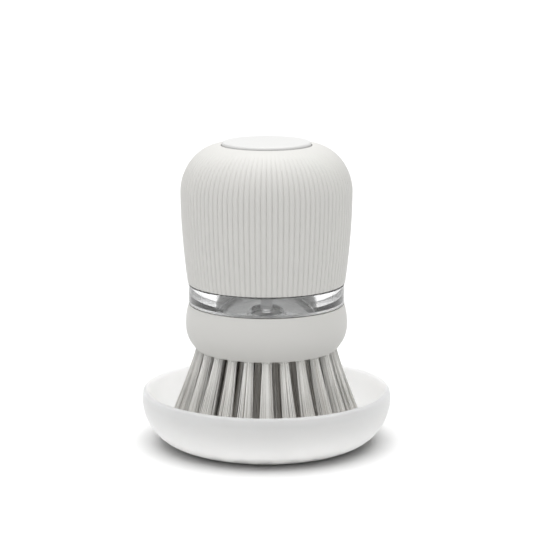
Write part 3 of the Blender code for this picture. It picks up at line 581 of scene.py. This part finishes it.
def filaments(ring, angle, strands, low, root):
    """Filaments as slim rods. Filament k of a tuft starts at the k-th seed of a sunflower head,
    sqrt((k + 0.5) / n) out at k golden turns, and ends at the same seed of a wider one, further
    out by the splay. On the way it bows a little to its own side."""
    tufts = len(angle)
    out = np.stack((np.cos(angle), np.sin(angle)), 1)[:, None]
    side = np.stack((-np.sin(angle), np.cos(angle)), 1)[:, None]
    seed = np.arange(strands)
    turn = seed * GOLDEN_TURN + draw.uniform(0, 2 * np.pi, (tufts, 1))
    fan = np.cos(turn)[..., None] * out + np.sin(turn)[..., None] * side
    fan *= np.sqrt((seed + 0.5) / strands)[:, None]
    shake = draw.normal(0, TIP_SHAKE, (tufts, strands, 2))
    shake = shake + draw.normal(0, TUFT_LEAN, (tufts, 1, 2))
    start = out * ring + fan * TUFT_ROOT
    tip = out * ring * (1 + TUFT_SPLAY_SHARE) + fan * TUFT_TIP + shake
    along = np.linspace(0, 1, FILAMENT_ROWS)[::-1]
    bow = draw.normal(0, FILAMENT_BOW, (tufts, strands, 1, 2))
    line = start[:, :, None] + (tip - start)[:, :, None] * (along**TUFT_FLARE)[:, None]
    line = line + bow * (np.sin(np.pi * along) * along)[:, None]
    tip_height = low + draw.uniform(0, TIP_UNEVEN, (tufts, strands, 1))
    height = root + (tip_height - root) * along
    around = 2 * np.pi * np.arange(FILAMENT_SIDES) / FILAMENT_SIDES
    rim = FILAMENT_RADIUS * np.stack((np.cos(around), np.sin(around)), 1)
    flat = line[:, :, :, None] + rim
    tall = np.repeat(height[..., None, None], FILAMENT_SIDES, axis=3)
    return np.concatenate((flat, tall), axis=4).reshape(-1, FILAMENT_ROWS, FILAMENT_SIDES, 3)


def make_tufts(name, quarter, low, root):
    """All filaments of a quarter. Each vertex carries its filament's tone, from 0 to 1: a painted
    shade by ring, the outer ring's light and those behind it painted darker as shade, with a
    random tone on top."""
    grids = [filaments(ring, tuft_angles(tufts, 1, quarter), strands, low, root)
             for ring, tufts, strands, _ in TUFT_RINGS]
    grid = np.concatenate(grids)
    ring_painted_shade = np.repeat([ring[3] for ring in TUFT_RINGS], [len(part) for part in grids])
    piece = skin(name, grid, np.stack((grid[:, 0].mean(axis=1), grid[:, -1].mean(axis=1)), axis=1))
    # The ring's painted shade, with a random tone of each filament on top.
    tone = (ring_painted_shade + draw.normal(0, TONE_SPREAD, len(grid))).clip(0, 1)
    own = piece.data.attributes.new("filament_shade_and_tone", "FLOAT", "POINT")
    vertices = FILAMENT_ROWS * FILAMENT_SIDES + 2
    own.data.foreach_set("value", np.repeat(tone, vertices).astype(np.float32))
    return piece


def make_sockets(name, under):
    """The moulded rims round the roots: a ring's section turned about each tuft's own place."""
    top, tip = under + SOCKET_DROP, under - SOCKET_DROP
    section = softened([(TUFT_ROOT, top), (TUFT_ROOT, tip, CRISP_EDGE),
                        (SOCKET_RIM, tip, FINE_EDGE), (SOCKET_RIM, top)], steps=4)
    turn = 2 * np.pi * np.arange(SOCKET_COLUMNS) / SOCKET_COLUMNS
    flat = section[:, None, :1] * np.stack((np.cos(turn), np.sin(turn)), 1)
    tall = np.repeat(section[:, None, 1:], SOCKET_COLUMNS, axis=1)
    one = np.concatenate((flat, tall), axis=2)
    quarters = len(TUFT_QUARTERS)
    tufts_round = [(ring, tuft_angles(tufts, quarters)) for ring, tufts, _, _ in TUFT_RINGS]
    place = np.concatenate([ring * np.stack((np.cos(angle), np.sin(angle), 0 * angle), 1)
                            for ring, angle in tufts_round])
    return skin(name, one[None] + place[:, None, None])


def nylon():
    """Extruded filament: each strand has its own tone, which holds its ring's painted shade,
    with faint streaks along it.
    """
    finish, place = dress("bristle_nylon", NYLON_IOR)
    tone = finish.node("ShaderNodeAttribute", {"attribute_name": "filament_shade_and_tone"}, output="Fac")
    drawn = finish.node("ShaderNodeMapping", None,
                        {"Vector": place, "Scale": (1, 1, STREAK_STRETCH)})
    streak = finish.noise(drawn, STREAKS, detail=1.0)
    # The ring's painted shade and the streaks pick the colour between dark and light nylon.
    share = (tone + (streak - 0.5) * STREAK_TONE).at_most(1.0)
    finish.set("Base Color", finish.blend(share, NYLON_SHADED, NYLON_LIGHT))
    finish.set("Roughness", NYLON_ROUGHNESS + streak * STREAK_SHINE)
    return finish.owner


bristle_nylon = nylon()
backing_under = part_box("collar")[0].z
backing_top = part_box("bristles_front")[1].z
for quarter, side_name in enumerate(TUFT_QUARTERS):
    node = "bristles_" + side_name
    tips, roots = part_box(node)[0].z, backing_under + SOCKET_DROP
    bristles = make_tufts("tufts_" + side_name, quarter, tips, roots)
    hand_over(bristles, bristle_nylon, "bristle_nylon", "head", node)
backing = turned("tuft_backing", softened([
    (BACKING_OUTER, backing_top, FINE_EDGE), (BACKING_OUTER, backing_under, FINE_EDGE),
    (BACKING_INNER, backing_under, FINE_EDGE), (BACKING_INNER, backing_top, FINE_EDGE),
]), columns=160)
hand_over(backing, body_plastic, "body_plastic", "head")
sockets = make_sockets("tuft_sockets", backing_under)
hand_over(sockets, body_plastic, "body_plastic", "head")


# Head gasket
# A flat washer of grey silicone in the plate's socket, punched from sheet. The reservoir's valve
# well presses on it when the reservoir is turned home.

HEAD_GASKET_BORE = 0.0053
RUBBER_GREY = (0.50, 0.50, 0.49, 1)
RUBBER_IOR = 1.41
RUBBER_GRAIN = 4200.0
RUBBER_PATCHES = 260.0
RUBBER_DUST = 1.12
RUBBER_GRAIN_DEPTH = 0.00002
RUBBER_GRAIN_STRENGTH = 0.6
RUBBER_SHINE = 0.15


def rubber(name, colour, roughness):
    """Soft silicone: matt, with a fine dry grain and paler dusty patches."""
    finish, place = dress(name, RUBBER_IOR)
    grain = finish.noise(place, RUBBER_GRAIN, detail=3.0, roughness=0.7)
    patch = finish.noise(place, RUBBER_PATCHES, detail=2.0)
    paler = tuple(min(1.0, value * RUBBER_DUST) for value in colour[:3]) + (1,)
    finish.set("Base Color", finish.blend(patch, colour, paler))
    finish.set("Roughness", roughness + grain * RUBBER_SHINE)
    finish.bump(grain, RUBBER_GRAIN_STRENGTH, RUBBER_GRAIN_DEPTH)
    return finish.owner


def washer_outline(node, inner, rounding):
    """A flat ring's section inside the box of its node, with rounded edges."""
    low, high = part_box(node)
    return softened([(high.x, high.z, rounding), (high.x, low.z, rounding),
                     (inner, low.z, rounding), (inner, high.z, rounding)])


seal_rubber = rubber("seal_rubber", RUBBER_GREY, roughness=0.66)
head_gasket_outline = washer_outline("head_gasket", HEAD_GASKET_BORE, FINE_EDGE)
head_gasket = turned("head_gasket_washer", head_gasket_outline, columns=160)
hand_over(head_gasket, seal_rubber, "seal_rubber", "head_gasket", "head_gasket")


# Reservoir
# The clear soap cup, moulded thick and polished, with a threaded neck. Its band shows between the
# grip and the collar. Below are a step that the mould leaves matt, the spigot, and the thick floor
# that mirrors the light, with the valve's well sunk in it.

RESERVOIR_BORE = 0.0205
RESERVOIR_BAND = 0.0310
RESERVOIR_SPIGOT = 0.0240
BAND_HEIGHT = 0.00775
FLOOR_DROP = 0.0034
FLOOR_THICKNESS = 0.00345
NECK_WALL = 0.0023
WELL_BORE = 0.0061
WELL_WALL = 0.0020
WELL_FLOOR = 0.0016
WELL_FLARE = 0.00085
PORT = 0.0026
SPIGOT_EDGE = 0.0008
FLOOR_EDGE = 0.0010
THREAD_DEPTH = 0.00045
THREAD_PITCH = 0.0042
THREAD_LOW = 0.0190
THREAD_HIGH = 0.0305
THREAD_FADE = 0.0015
THREAD_FLANK = 1.6
THREAD_ROOT = 0.6
THREAD_COLUMNS = 240
NECK_ROWS = 150
NECK_PLAIN_TOP = 0.0008
MATT_ROUGHNESS = 0.30
MATT_EDGE = 0.0008
MOULD_WAVES = 70.0
WAVE_DEPTH = 0.0001
WAVE_STRENGTH = 0.3
HAZE = 900.0
HAZE_SHINE = 0.02
CLEAR_TINT = (0.985, 0.99, 0.99, 1)
band_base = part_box("collar")[1].z + SEAT_GAP


def thread(height, start, stop, angle):
    """How far a screw thread stands out at a height and angle: a rounded ridge, one turn per
    pitch, which is flank * cos(phase) - root and no less than 0, and fades out at its ends."""
    phase = height / THREAD_PITCH - angle / (2 * np.pi)
    ridge = np.clip(np.cos(2 * np.pi * phase) * THREAD_FLANK - THREAD_ROOT, 0, 1)
    swell = np.clip((height - start) / THREAD_FADE, 0, 1)
    return THREAD_DEPTH * ridge * swell * np.clip((stop - height) / THREAD_FADE, 0, 1)


def clear(name, roughness, through, tint, matt=None):
    """Clear plastic with the faint waves that a thick moulding keeps. Only the share through gets
    through it, because the melt is never quite free of haze. matt gives a radius and two
    heights: faces outside that radius and between the heights are left rough by the mould."""
    finish, place = dress(name, PLASTIC_IOR)
    rough = roughness + finish.noise(place, HAZE, detail=2.0) * HAZE_SHINE
    if matt:
        height = finish.node("ShaderNodeSeparateXYZ", None, {"Vector": place}, "Z")
        flat = finish.node("ShaderNodeVectorMath", {"operation": "MULTIPLY"},
                           {0: place, 1: (1, 1, 0)})
        radius = finish.node("ShaderNodeVectorMath", {"operation": "LENGTH"}, {0: flat}, "Value")
        between = height.above(matt[1]) * (1 - height.above(matt[2]))
        rough = rough + between * radius.above(matt[0]) * MATT_ROUGHNESS
    finish.set("Roughness", rough)
    finish.bump(finish.noise(place, MOULD_WAVES, detail=1.0), WAVE_STRENGTH, WAVE_DEPTH)
    finish.set("Base Color", tint)
    finish.set("Transmission Weight", through)
    return finish.owner


def threaded(name, outline, rows, start, stop, outwards, shift=0.0):
    """An outline turned about the axis, with a thread on its first rows between two heights. It
    stands out where outwards is 1 and in where it is -1, and shift lowers its ridge."""
    angle = 2 * np.pi * np.arange(THREAD_COLUMNS) / THREAD_COLUMNS
    radius = np.repeat(outline[:, :1], THREAD_COLUMNS, axis=1)
    ridge = thread(rows[:, None] + shift, start + shift, stop + shift, angle[None])
    radius[:len(rows)] += outwards * ridge
    return turned(name, outline, THREAD_COLUMNS, radius)


def make_reservoir():
    """The cup's section turned about the axis, with the thread on the neck's outer side."""
    low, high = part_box("reservoir")
    base, rim = low.z, high.z
    band_top = band_base + BAND_HEIGHT
    floor = band_base - FLOOR_DROP
    under = floor - FLOOR_THICKNESS
    neck = RESERVOIR_BORE + NECK_WALL
    well = WELL_BORE + WELL_WALL
    cup = softened([
        (neck, band_top), (RESERVOIR_BAND, band_top, SMALL_EDGE),
        (RESERVOIR_BAND, band_base, SMALL_EDGE), (RESERVOIR_SPIGOT, band_base),
        (RESERVOIR_SPIGOT, under, SPIGOT_EDGE), (well, under), (well, base, SMALL_EDGE),
        (PORT, base, FINE_EDGE), (PORT, base + WELL_FLOOR, FINE_EDGE),
        (WELL_BORE, base + WELL_FLOOR, SMALL_EDGE), (WELL_BORE, floor - WELL_FLARE),
        (WELL_BORE + WELL_FLARE, floor, FULL_EDGE), (RESERVOIR_BORE, floor, FLOOR_EDGE),
        (RESERVOIR_BORE, rim, SOFT_EDGE), (neck, rim, SOFT_EDGE),
    ])
    rows = np.linspace(rim - NECK_PLAIN_TOP, band_top + FINE_EDGE, NECK_ROWS)
    outline = np.concatenate((np.stack((np.full(rows.shape, neck), rows), axis=1), cup))
    start, stop = band_top + THREAD_LOW, band_top + THREAD_HIGH
    return threaded("reservoir_cup", outline, rows, start, stop, outwards=1)


band_step = (RESERVOIR_BORE + MATT_EDGE, band_base - MATT_EDGE, band_base + MATT_EDGE)
clear_plastic = clear("clear_plastic", roughness=0.01, through=0.97, tint=CLEAR_TINT,
                      matt=band_step)
reservoir = make_reservoir()
hand_over(reservoir, clear_plastic, "clear_plastic", "reservoir", "reservoir")


# Valve
# A grey moulded cap on a barbed pin lies in the flared mouth of the well. Its grey is painted
# lighter, as painted light for the light that reaches it through the clear cup. A soft rubber
# plug on the barb closes the port from below, and a small steel coil under the cap holds it shut.

VALVE_CROWN = 0.0003
VALVE_CROWN_FALL = 0.6
CROWN_NEAR = 0.5
CROWN_FAR = 0.8
VALVE_CAP = 0.0009
VALVE_PIN = 0.0012
VALVE_BARB = 0.0015
VALVE_BARB_HEIGHT = 0.0008
VALVE_TIP_SHARE = 0.7
# The cap's grey, painted lighter as painted light for the light reaching it through the clear cup.
VALVE_GREY_WITH_PAINTED_LIGHT = (0.44, 0.44, 0.435, 1)
PLUG_TIP = 0.0022
PLUG_FLOOR = 0.0006
VALVE_WIRE = 0.00028
VALVE_COIL_TURNS = 3.5
COIL_STEPS = 40
WIRE_SIDES = 12
QUIET_RISE = 0.07
STEEL_BRIGHT = (0.66, 0.66, 0.67, 1)
STEEL_DULL = (0.52, 0.52, 0.54, 1)
STEEL_ROUGHNESS = 0.20
STEEL_FILM = 700.0
FILM_SHINE = 0.10
DIE_MARKS = 9000.0
MARK_SHINE = 0.06


def steel(name):
    """Drawn spring wire: bright, with fine die marks and a dulled oxide film."""
    finish, place = dress(name)
    film = finish.noise(place, STEEL_FILM, detail=3.0)
    marks = finish.noise(place, DIE_MARKS, detail=1.0)
    finish.set("Base Color", finish.blend(film, STEEL_BRIGHT, STEEL_DULL))
    finish.set("Roughness", STEEL_ROUGHNESS + film * FILM_SHINE + marks * MARK_SHINE)
    finish.set("Metallic", 1.0)
    return finish.owner


def wound(name, node, wire, turns, quiet=0.8):
    """A compression spring: a round wire along a helix. It climbs evenly, apart from about quiet
    turns at each end, which rise by only QUIET_RISE of its height."""
    low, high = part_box(node)
    radius = (high.x - low.x) / 2 - wire
    count = int(turns * COIL_STEPS)
    t = np.linspace(0, 1, count)
    free = np.clip((t * turns - quiet) / (turns - 2 * quiet), 0, 1)
    dead = np.clip(t * turns / quiet, 0, 1) + np.clip((t * turns - turns + quiet) / quiet, 0, 1)
    rise = high.z - low.z - 2 * wire
    height = low.z + wire + rise * (free * (1 - 2 * QUIET_RISE) + dead * QUIET_RISE)
    angle = 2 * np.pi * turns * t
    line = np.stack((radius * np.cos(angle), radius * np.sin(angle), height), 1)
    along = np.gradient(line, axis=0)
    along /= np.linalg.norm(along, axis=1)[:, None]
    out = np.stack((np.cos(angle), np.sin(angle), 0 * angle), 1)
    up = np.cross(along, out)
    turn = 2 * np.pi * np.arange(WIRE_SIDES) / WIRE_SIDES
    rim = np.cos(turn)[:, None] * up[:, None] + np.sin(turn)[:, None] * out[:, None]
    grid = line[:, None] + wire * rim
    return skin(name, grid[None, ::-1], np.array([(line[-1], line[0])]))


def pin_outline():
    """The valve cap and its pin, as one section from the axis to the axis. The crown's curve has
    its handles at CROWN_NEAR and CROWN_FAR of the radius."""
    low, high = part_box("valve_stem")
    cap, barb = high.z - VALVE_CAP, low.z + VALVE_BARB_HEIGHT
    crown = curve_between((0, high.z), (high.x * CROWN_NEAR, high.z),
                          (high.x * CROWN_FAR, high.z - VALVE_CROWN * VALVE_CROWN_FALL),
                          (high.x - CRISP_EDGE, high.z - VALVE_CROWN), count=10)
    rest = softened([
        (0, high.z), (high.x, high.z - VALVE_CROWN, CRISP_EDGE), (high.x, cap, FINE_EDGE),
        (VALVE_PIN, cap, FINE_EDGE), (VALVE_PIN, barb), (VALVE_BARB, barb),
        (VALVE_PIN * VALVE_TIP_SHARE, low.z, SMALL_EDGE), (0, low.z),
    ])[1:]
    return np.concatenate((crown[:-1], rest))


def plug_outline():
    """The plug: a hollow cup for the barb above, tapering to a blunt tip below."""
    low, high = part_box("valve_plug")
    pocket = VALVE_BARB + SEAT_GAP
    floor = low.z + PLUG_FLOOR
    pocket_top = floor + VALVE_BARB_HEIGHT + 2 * SEAT_GAP
    return softened([
        (0, floor), (pocket, floor), (pocket, pocket_top),
        (VALVE_PIN + SEAT_GAP, pocket_top), (VALVE_PIN + SEAT_GAP, high.z, CRISP_EDGE),
        (high.x, high.z, FINE_EDGE), (high.x, (high.z + pocket_top) / 2, FULL_EDGE),
        (PLUG_TIP, low.z, FULL_EDGE), (0, low.z),
    ])


def press(coil):
    """Give a coil a mesh of its own. The coil is not squashed."""
    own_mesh(coil)


valve_plastic = moulded("valve_plastic", VALVE_GREY_WITH_PAINTED_LIGHT, roughness=0.34, grain=0.00025, depth=0.00001)
spring_steel = steel("spring_steel")
valve_stem = turned("valve_cap_and_pin", pin_outline(), columns=128)
hand_over(valve_stem, valve_plastic, "valve_plastic", "valve", "valve_stem")
valve_plug = turned("valve_plug_cone", plug_outline(), columns=96)
hand_over(valve_plug, seal_rubber, "seal_rubber", "valve", "valve_plug")
valve_spring = wound("valve_spring_coil", "valve_spring", VALVE_WIRE, VALVE_COIL_TURNS)
hand_over(valve_spring, spring_steel, "spring_steel", "reservoir", "valve_spring")
press(valve_spring)


# Neck gasket
# A flat silicone ring between the neck's rim and the cap in the grip. The neck's rim presses on it
# as the grip is screwed down, and it keeps the soap in.

neck_gasket_outline = washer_outline("neck_gasket", RESERVOIR_BORE, SMALL_EDGE)
neck_gasket = turned("neck_gasket_ring", neck_gasket_outline, columns=200)
hand_over(neck_gasket, seal_rubber, "seal_rubber", "neck_gasket", "neck_gasket")


# Inner cap
# The screw cap fixed in the grip's foot, in the body's plastic: a flange, a threaded skirt, a deck
# and the guide of the push rod, with a rubber ring and an air valve of the same silicone.

CAP_DECK = 0.0020
CAP_SKIRT = 0.0240
CAP_WALL = 0.0018
CAP_FLANGE = 0.0020
GUIDE_RADIUS = 0.0056
GUIDE_BORE = 0.0028
CAP_ROWS = 140
CAP_PLAIN_FOOT = 0.0008
CAP_PLAIN_TOP = 0.0006
SEAL_WIDTH = 0.0015
VENT_HOLE = 0.0015
VENT_STEM = 0.0012
VENT_BULB = 0.0019
vent_low, vent_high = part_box("vent_valve")
vent_place = (vent_low.x + vent_high.x) / 2


def make_inner_cap():
    """The cap's section turned about the axis, with a thread that stands in from the skirt and a
    round hole cut through the deck for the air valve."""
    low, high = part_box("inner_cap")
    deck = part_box("neck_gasket")[1].z + SEAT_GAP
    deck_top = deck + CAP_DECK
    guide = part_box("rod_clip")[1].z + SEAT_GAP
    pocket = GUIDE_BORE + SEAL_WIDTH + SEAT_GAP
    pocket_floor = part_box("rod_seal")[0].z - SEAT_GAP
    outer, flange = CAP_SKIRT + CAP_WALL, low.z + CAP_FLANGE
    cup = softened([
        (CAP_SKIRT, deck, SMALL_EDGE), (GUIDE_RADIUS, deck, SOFT_EDGE),
        (GUIDE_RADIUS, guide, SMALL_EDGE), (GUIDE_BORE, guide, FINE_EDGE),
        (GUIDE_BORE, pocket_floor, CRISP_EDGE), (pocket, pocket_floor),
        (pocket, high.z, FINE_EDGE), (GUIDE_RADIUS, high.z, SMALL_EDGE),
        (GUIDE_RADIUS, deck_top, SOFT_EDGE), (outer, deck_top, CAP_WALL),
        (outer, flange, SOFT_EDGE), (high.x, flange, FINE_EDGE), (high.x, low.z, FINE_EDGE),
        (CAP_SKIRT, low.z, SOFT_EDGE),
    ])
    rows = np.linspace(low.z + CAP_PLAIN_FOOT, deck - CAP_PLAIN_TOP, CAP_ROWS)
    outline = np.concatenate((np.stack((np.full(rows.shape, CAP_SKIRT), rows), axis=1), cup))
    band_top = band_base + BAND_HEIGHT
    cap = threaded("inner_cap_shell", outline, rows, band_top + THREAD_LOW,
                   band_top + THREAD_HIGH, outwards=-1, shift=THREAD_PITCH / 2)
    under, over = deck - CAP_DECK, deck_top + CAP_DECK
    pin = [(0, under), (VENT_HOLE, under), (VENT_HOLE, over), (0, over)]
    hole = turned("vent_hole", pin, columns=48, place=(vent_place, 0))
    cut = cap.modifiers.new("vent", "BOOLEAN")
    cut.operation = "DIFFERENCE"
    cut.object = hole
    bpy.context.view_layer.update()
    state = cap.evaluated_get(bpy.context.evaluated_depsgraph_get())
    mesh = bpy.data.meshes.new_from_object(state)
    cap.modifiers.clear()
    cap.data = mesh
    mesh.materials.clear()
    bpy.data.objects.remove(hole)
    return cap


def vent_outline():
    """The air valve: a thin umbrella below the deck, a stem through it and a bulb above."""
    low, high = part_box("vent_valve")
    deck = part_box("neck_gasket")[1].z + SEAT_GAP
    lip = high.x - vent_place
    over = deck + CAP_DECK + SEAT_GAP
    under = deck - SEAT_GAP
    umbrella = curve_between((0, low.z), (lip * CROWN_NEAR, low.z),
                             (lip * CROWN_FAR, low.z + SMALL_EDGE),
                             (lip, under - FINE_EDGE), count=12)
    rest = softened([
        (lip, under - FINE_EDGE), (lip, under, CRISP_EDGE), (VENT_STEM, under, CRISP_EDGE),
        (VENT_STEM, over), (VENT_BULB, over, FINE_EDGE), (VENT_STEM, high.z, SOFT_EDGE),
        (0, high.z),
    ])[1:]
    return np.concatenate((umbrella, rest))


inner_cap = make_inner_cap()
hand_over(inner_cap, body_plastic, "body_plastic", "grip", "inner_cap")
rod_seal_outline = washer_outline("rod_seal", GUIDE_BORE, SOFT_EDGE)
rod_seal = turned("rod_seal_ring", rod_seal_outline, columns=96)
hand_over(rod_seal, seal_rubber, "seal_rubber", "grip", "rod_seal")
vent_valve = turned("vent_umbrella", vent_outline(), columns=72, place=(vent_place, 0))
hand_over(vent_valve, seal_rubber, "seal_rubber", "grip", "vent_valve")


# Push rod, clip and return spring
# A rod of clear, slightly grey plastic, not polished, runs from the button down to the valve. An
# open steel ring in its groove stops it under the guide, and a steel coil on the cap's deck lifts
# the button.

ROD_GROOVE_DEPTH = 0.0006
ROD_CHAMFER = 0.0005
CLIP_WIDTH = 0.0024
CLIP_OPEN_SHARE = 0.2
CLIP_STEPS = 60
ROD_TINT = (0.84, 0.84, 0.84, 1)
RETURN_WIRE = 0.0005
RETURN_TURNS = 7.0


def rod_outline():
    """The rod's section, with its groove and a chamfered tip."""
    low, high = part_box("push_rod")
    clip_low, clip_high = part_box("rod_clip")
    groove = high.x - ROD_GROOVE_DEPTH
    groove_low, groove_high = clip_low.z - SEAT_GAP, clip_high.z + SEAT_GAP
    return softened([
        (0, high.z), (high.x, high.z, FINE_EDGE), (high.x, groove_high, CRISP_EDGE),
        (groove, groove_high), (groove, groove_low), (high.x, groove_low, CRISP_EDGE),
        (high.x, low.z + ROD_CHAMFER, FINE_EDGE), (high.x - ROD_CHAMFER, low.z, FINE_EDGE),
        (0, low.z),
    ])


def make_clip():
    """A flat ring open on one side: a rounded section carried round four fifths of a turn."""
    low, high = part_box("rod_clip")
    inner = high.x - CLIP_WIDTH
    section = softened([(high.x, high.z, CRISP_EDGE), (high.x, low.z, CRISP_EDGE),
                        (inner, low.z, CRISP_EDGE), (inner, high.z, CRISP_EDGE)], steps=3)
    turn = 2 * np.pi * (1 - CLIP_OPEN_SHARE) * np.linspace(0, 1, CLIP_STEPS)[:, None]
    radius, height = section[:, 0][None], section[:, 1][None]
    grid = np.stack((radius * np.cos(turn), radius * np.sin(turn), height + 0 * turn), axis=2)
    ends = np.array([(grid[0].mean(axis=0), grid[-1].mean(axis=0))])
    return skin("rod_clip_ring", grid[None], ends)


push_rod = turned("push_rod_shaft", rod_outline(), columns=96)
rod_plastic = clear("rod_plastic", roughness=0.18, through=0.90, tint=ROD_TINT)
hand_over(push_rod, rod_plastic, "clear_plastic", "button", "push_rod")
rod_clip = make_clip()
hand_over(rod_clip, spring_steel, "spring_steel", "button", "rod_clip")
return_spring = wound("return_spring_coil", "return_spring", RETURN_WIRE, RETURN_TURNS)
hand_over(return_spring, spring_steel, "spring_steel", "grip", "return_spring")
press(return_spring)


# Grip
# The palm grip: a domed shell in warm white plastic. Its fine upright ribs, rounded and close,
# run from the foot over the shoulder, where they get shallower, up to a plain ring round the
# button.

GRIP_FOOT = 0.0313
GRIP_BELLY_HEIGHT = 0.0364
GRIP_WALL = 0.0028
GRIP_FOOT_LEAN = 0.00145
GRIP_FOOT_SWEEP = 0.0109
GRIP_BELLY_SWEEP = 0.0115
GRIP_SHOULDER_SWEEP = 0.0090
GRIP_CROWN_SWEEP = 0.0090
GRIP_CROWN_FALL = 0.0006
GRIP_CROWN_RING = 0.00045
GRIP_REBATE_DEPTH = 0.0007
GRIP_ROUND = 0.0004
GRIP_BEVEL_SHARE = 0.3
GRIP_SINK = 0.0002
WALL_MARGIN = 0.0006
RIB_COUNT = 96
RIB_POINTS = 10
RIB_DEPTH = 0.00060
RIB_ROUNDNESS = 0.97
RIB_NARROWING = 2.5
RIB_FADE = 0.04
RIB_FADE_POWER = 0.6
SLEEVE_WALL = 0.0017
SLEEVE_DROP = 0.0080
BUTTON_CLEARANCE = 0.0003


def rib_dip(angle):
    """How deep the groove lies at an angle, from 0 on a rib's crest to 0.83 in the valley: each
    rib is the top of an ellipse, so the dip is 1 - sqrt(1 - roundness x^2), x from -1 to 1."""
    across = (angle * RIB_COUNT / (2 * np.pi)) % 1.0 * 2 - 1
    return 1 - np.sqrt(1 - RIB_ROUNDNESS * across**2)


def make_grip():
    """The dome's section turned about the axis. Outside, each row's radius is lowered by the rib
    pattern, times a depth that goes with a power of the radius and fades at the plain ring."""
    low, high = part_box("grip")
    base, top, belly = low.z, high.z, high.x
    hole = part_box("button")[1].x + BUTTON_CLEARANCE
    ring = hole + GRIP_CROWN_RING
    side = curve_between((GRIP_FOOT, base + GRIP_ROUND),
                         (GRIP_FOOT + GRIP_FOOT_LEAN, base + GRIP_FOOT_SWEEP),
                         (belly, base + GRIP_BELLY_HEIGHT - GRIP_BELLY_SWEEP),
                         (belly, base + GRIP_BELLY_HEIGHT), count=20)
    shoulder = curve_between((belly, base + GRIP_BELLY_HEIGHT),
                             (belly, base + GRIP_BELLY_HEIGHT + GRIP_SHOULDER_SWEEP),
                             (ring + GRIP_CROWN_SWEEP, top - GRIP_CROWN_FALL), (ring, top),
                             count=34)
    blunt = GRIP_ROUND * GRIP_BEVEL_SHARE
    bevel = np.array([(GRIP_FOOT - GRIP_ROUND, base), (GRIP_FOOT - blunt, base + blunt)])
    outer = np.concatenate((bevel, side, shoulder[1:]))
    sleeve = hole + SLEEVE_WALL
    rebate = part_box("inner_cap")[1].x + SEAT_GAP
    rebate_top = base + CAP_FLANGE + SEAT_GAP
    wall = beside(np.concatenate((side, shoulder[1:])), GRIP_WALL)
    wall = wall[(wall[:, 0] > sleeve + WALL_MARGIN) & (wall[:, 1] > rebate_top + SMALL_EDGE)]
    inner = np.concatenate((
        [(hole, top - GRIP_SINK), (hole, top - SLEEVE_DROP), (sleeve, top - SLEEVE_DROP),
         (sleeve, top - GRIP_WALL)], wall[::2][::-1],
        [(rebate - GRIP_REBATE_DEPTH, rebate_top), (rebate, rebate_top), (rebate, base)],
    ))
    outline = np.concatenate((outer, inner))
    columns = RIB_COUNT * RIB_POINTS
    angle = 2 * np.pi * np.arange(columns) / columns
    rows = len(outer)
    share = np.arange(rows) / (rows - 1)
    fade = np.clip((1 - share) / RIB_FADE, 0, 1) ** RIB_FADE_POWER
    depth = RIB_DEPTH * fade * (outer[:, 0] / belly) ** RIB_NARROWING
    radius = np.repeat(outline[:, :1], columns, axis=1)
    radius[:rows] -= depth[:, None] * rib_dip(angle)[None]
    return turned("grip_dome", outline, columns, radius)


grip = make_grip()
hand_over(grip, body_plastic, "body_plastic", "grip", "grip")


# Button
# The flat push button, a plain disc of the same plastic in a shade whiter. Its skirt slides in the
# grip. A boss under it holds the rod, and the coil presses on its underside.

BUTTON_PLATE = 0.0022
BUTTON_WALL = 0.0018
BUTTON_EDGE = 0.0012
BOSS_WALL = 0.0018
BOSS_DROP = 0.0055
BUTTON_WHITE = (0.605, 0.604, 0.597, 1)


def button_outline():
    """The button's section: top, skirt, underside and boss."""
    low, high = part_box("button")
    under = high.z - BUTTON_PLATE
    boss = GUIDE_BORE + BOSS_WALL
    skirt = high.x - BUTTON_WALL
    return softened([
        (0, high.z), (high.x, high.z, BUTTON_EDGE), (high.x, low.z, SMALL_EDGE),
        (skirt, low.z, SMALL_EDGE), (skirt, under, FULL_EDGE), (boss, under, SOFT_EDGE),
        (boss, under - BOSS_DROP, SMALL_EDGE), (GUIDE_BORE, under - BOSS_DROP, SMALL_EDGE),
        (GUIDE_BORE, under), (0, under),
    ], steps=8)


button_plastic = moulded("button_plastic", BUTTON_WHITE, roughness=0.46, grain=0.00030,
                         depth=0.000012)
button = turned("button_disc", button_outline())
hand_over(button, button_plastic, "body_plastic", "button", "button")
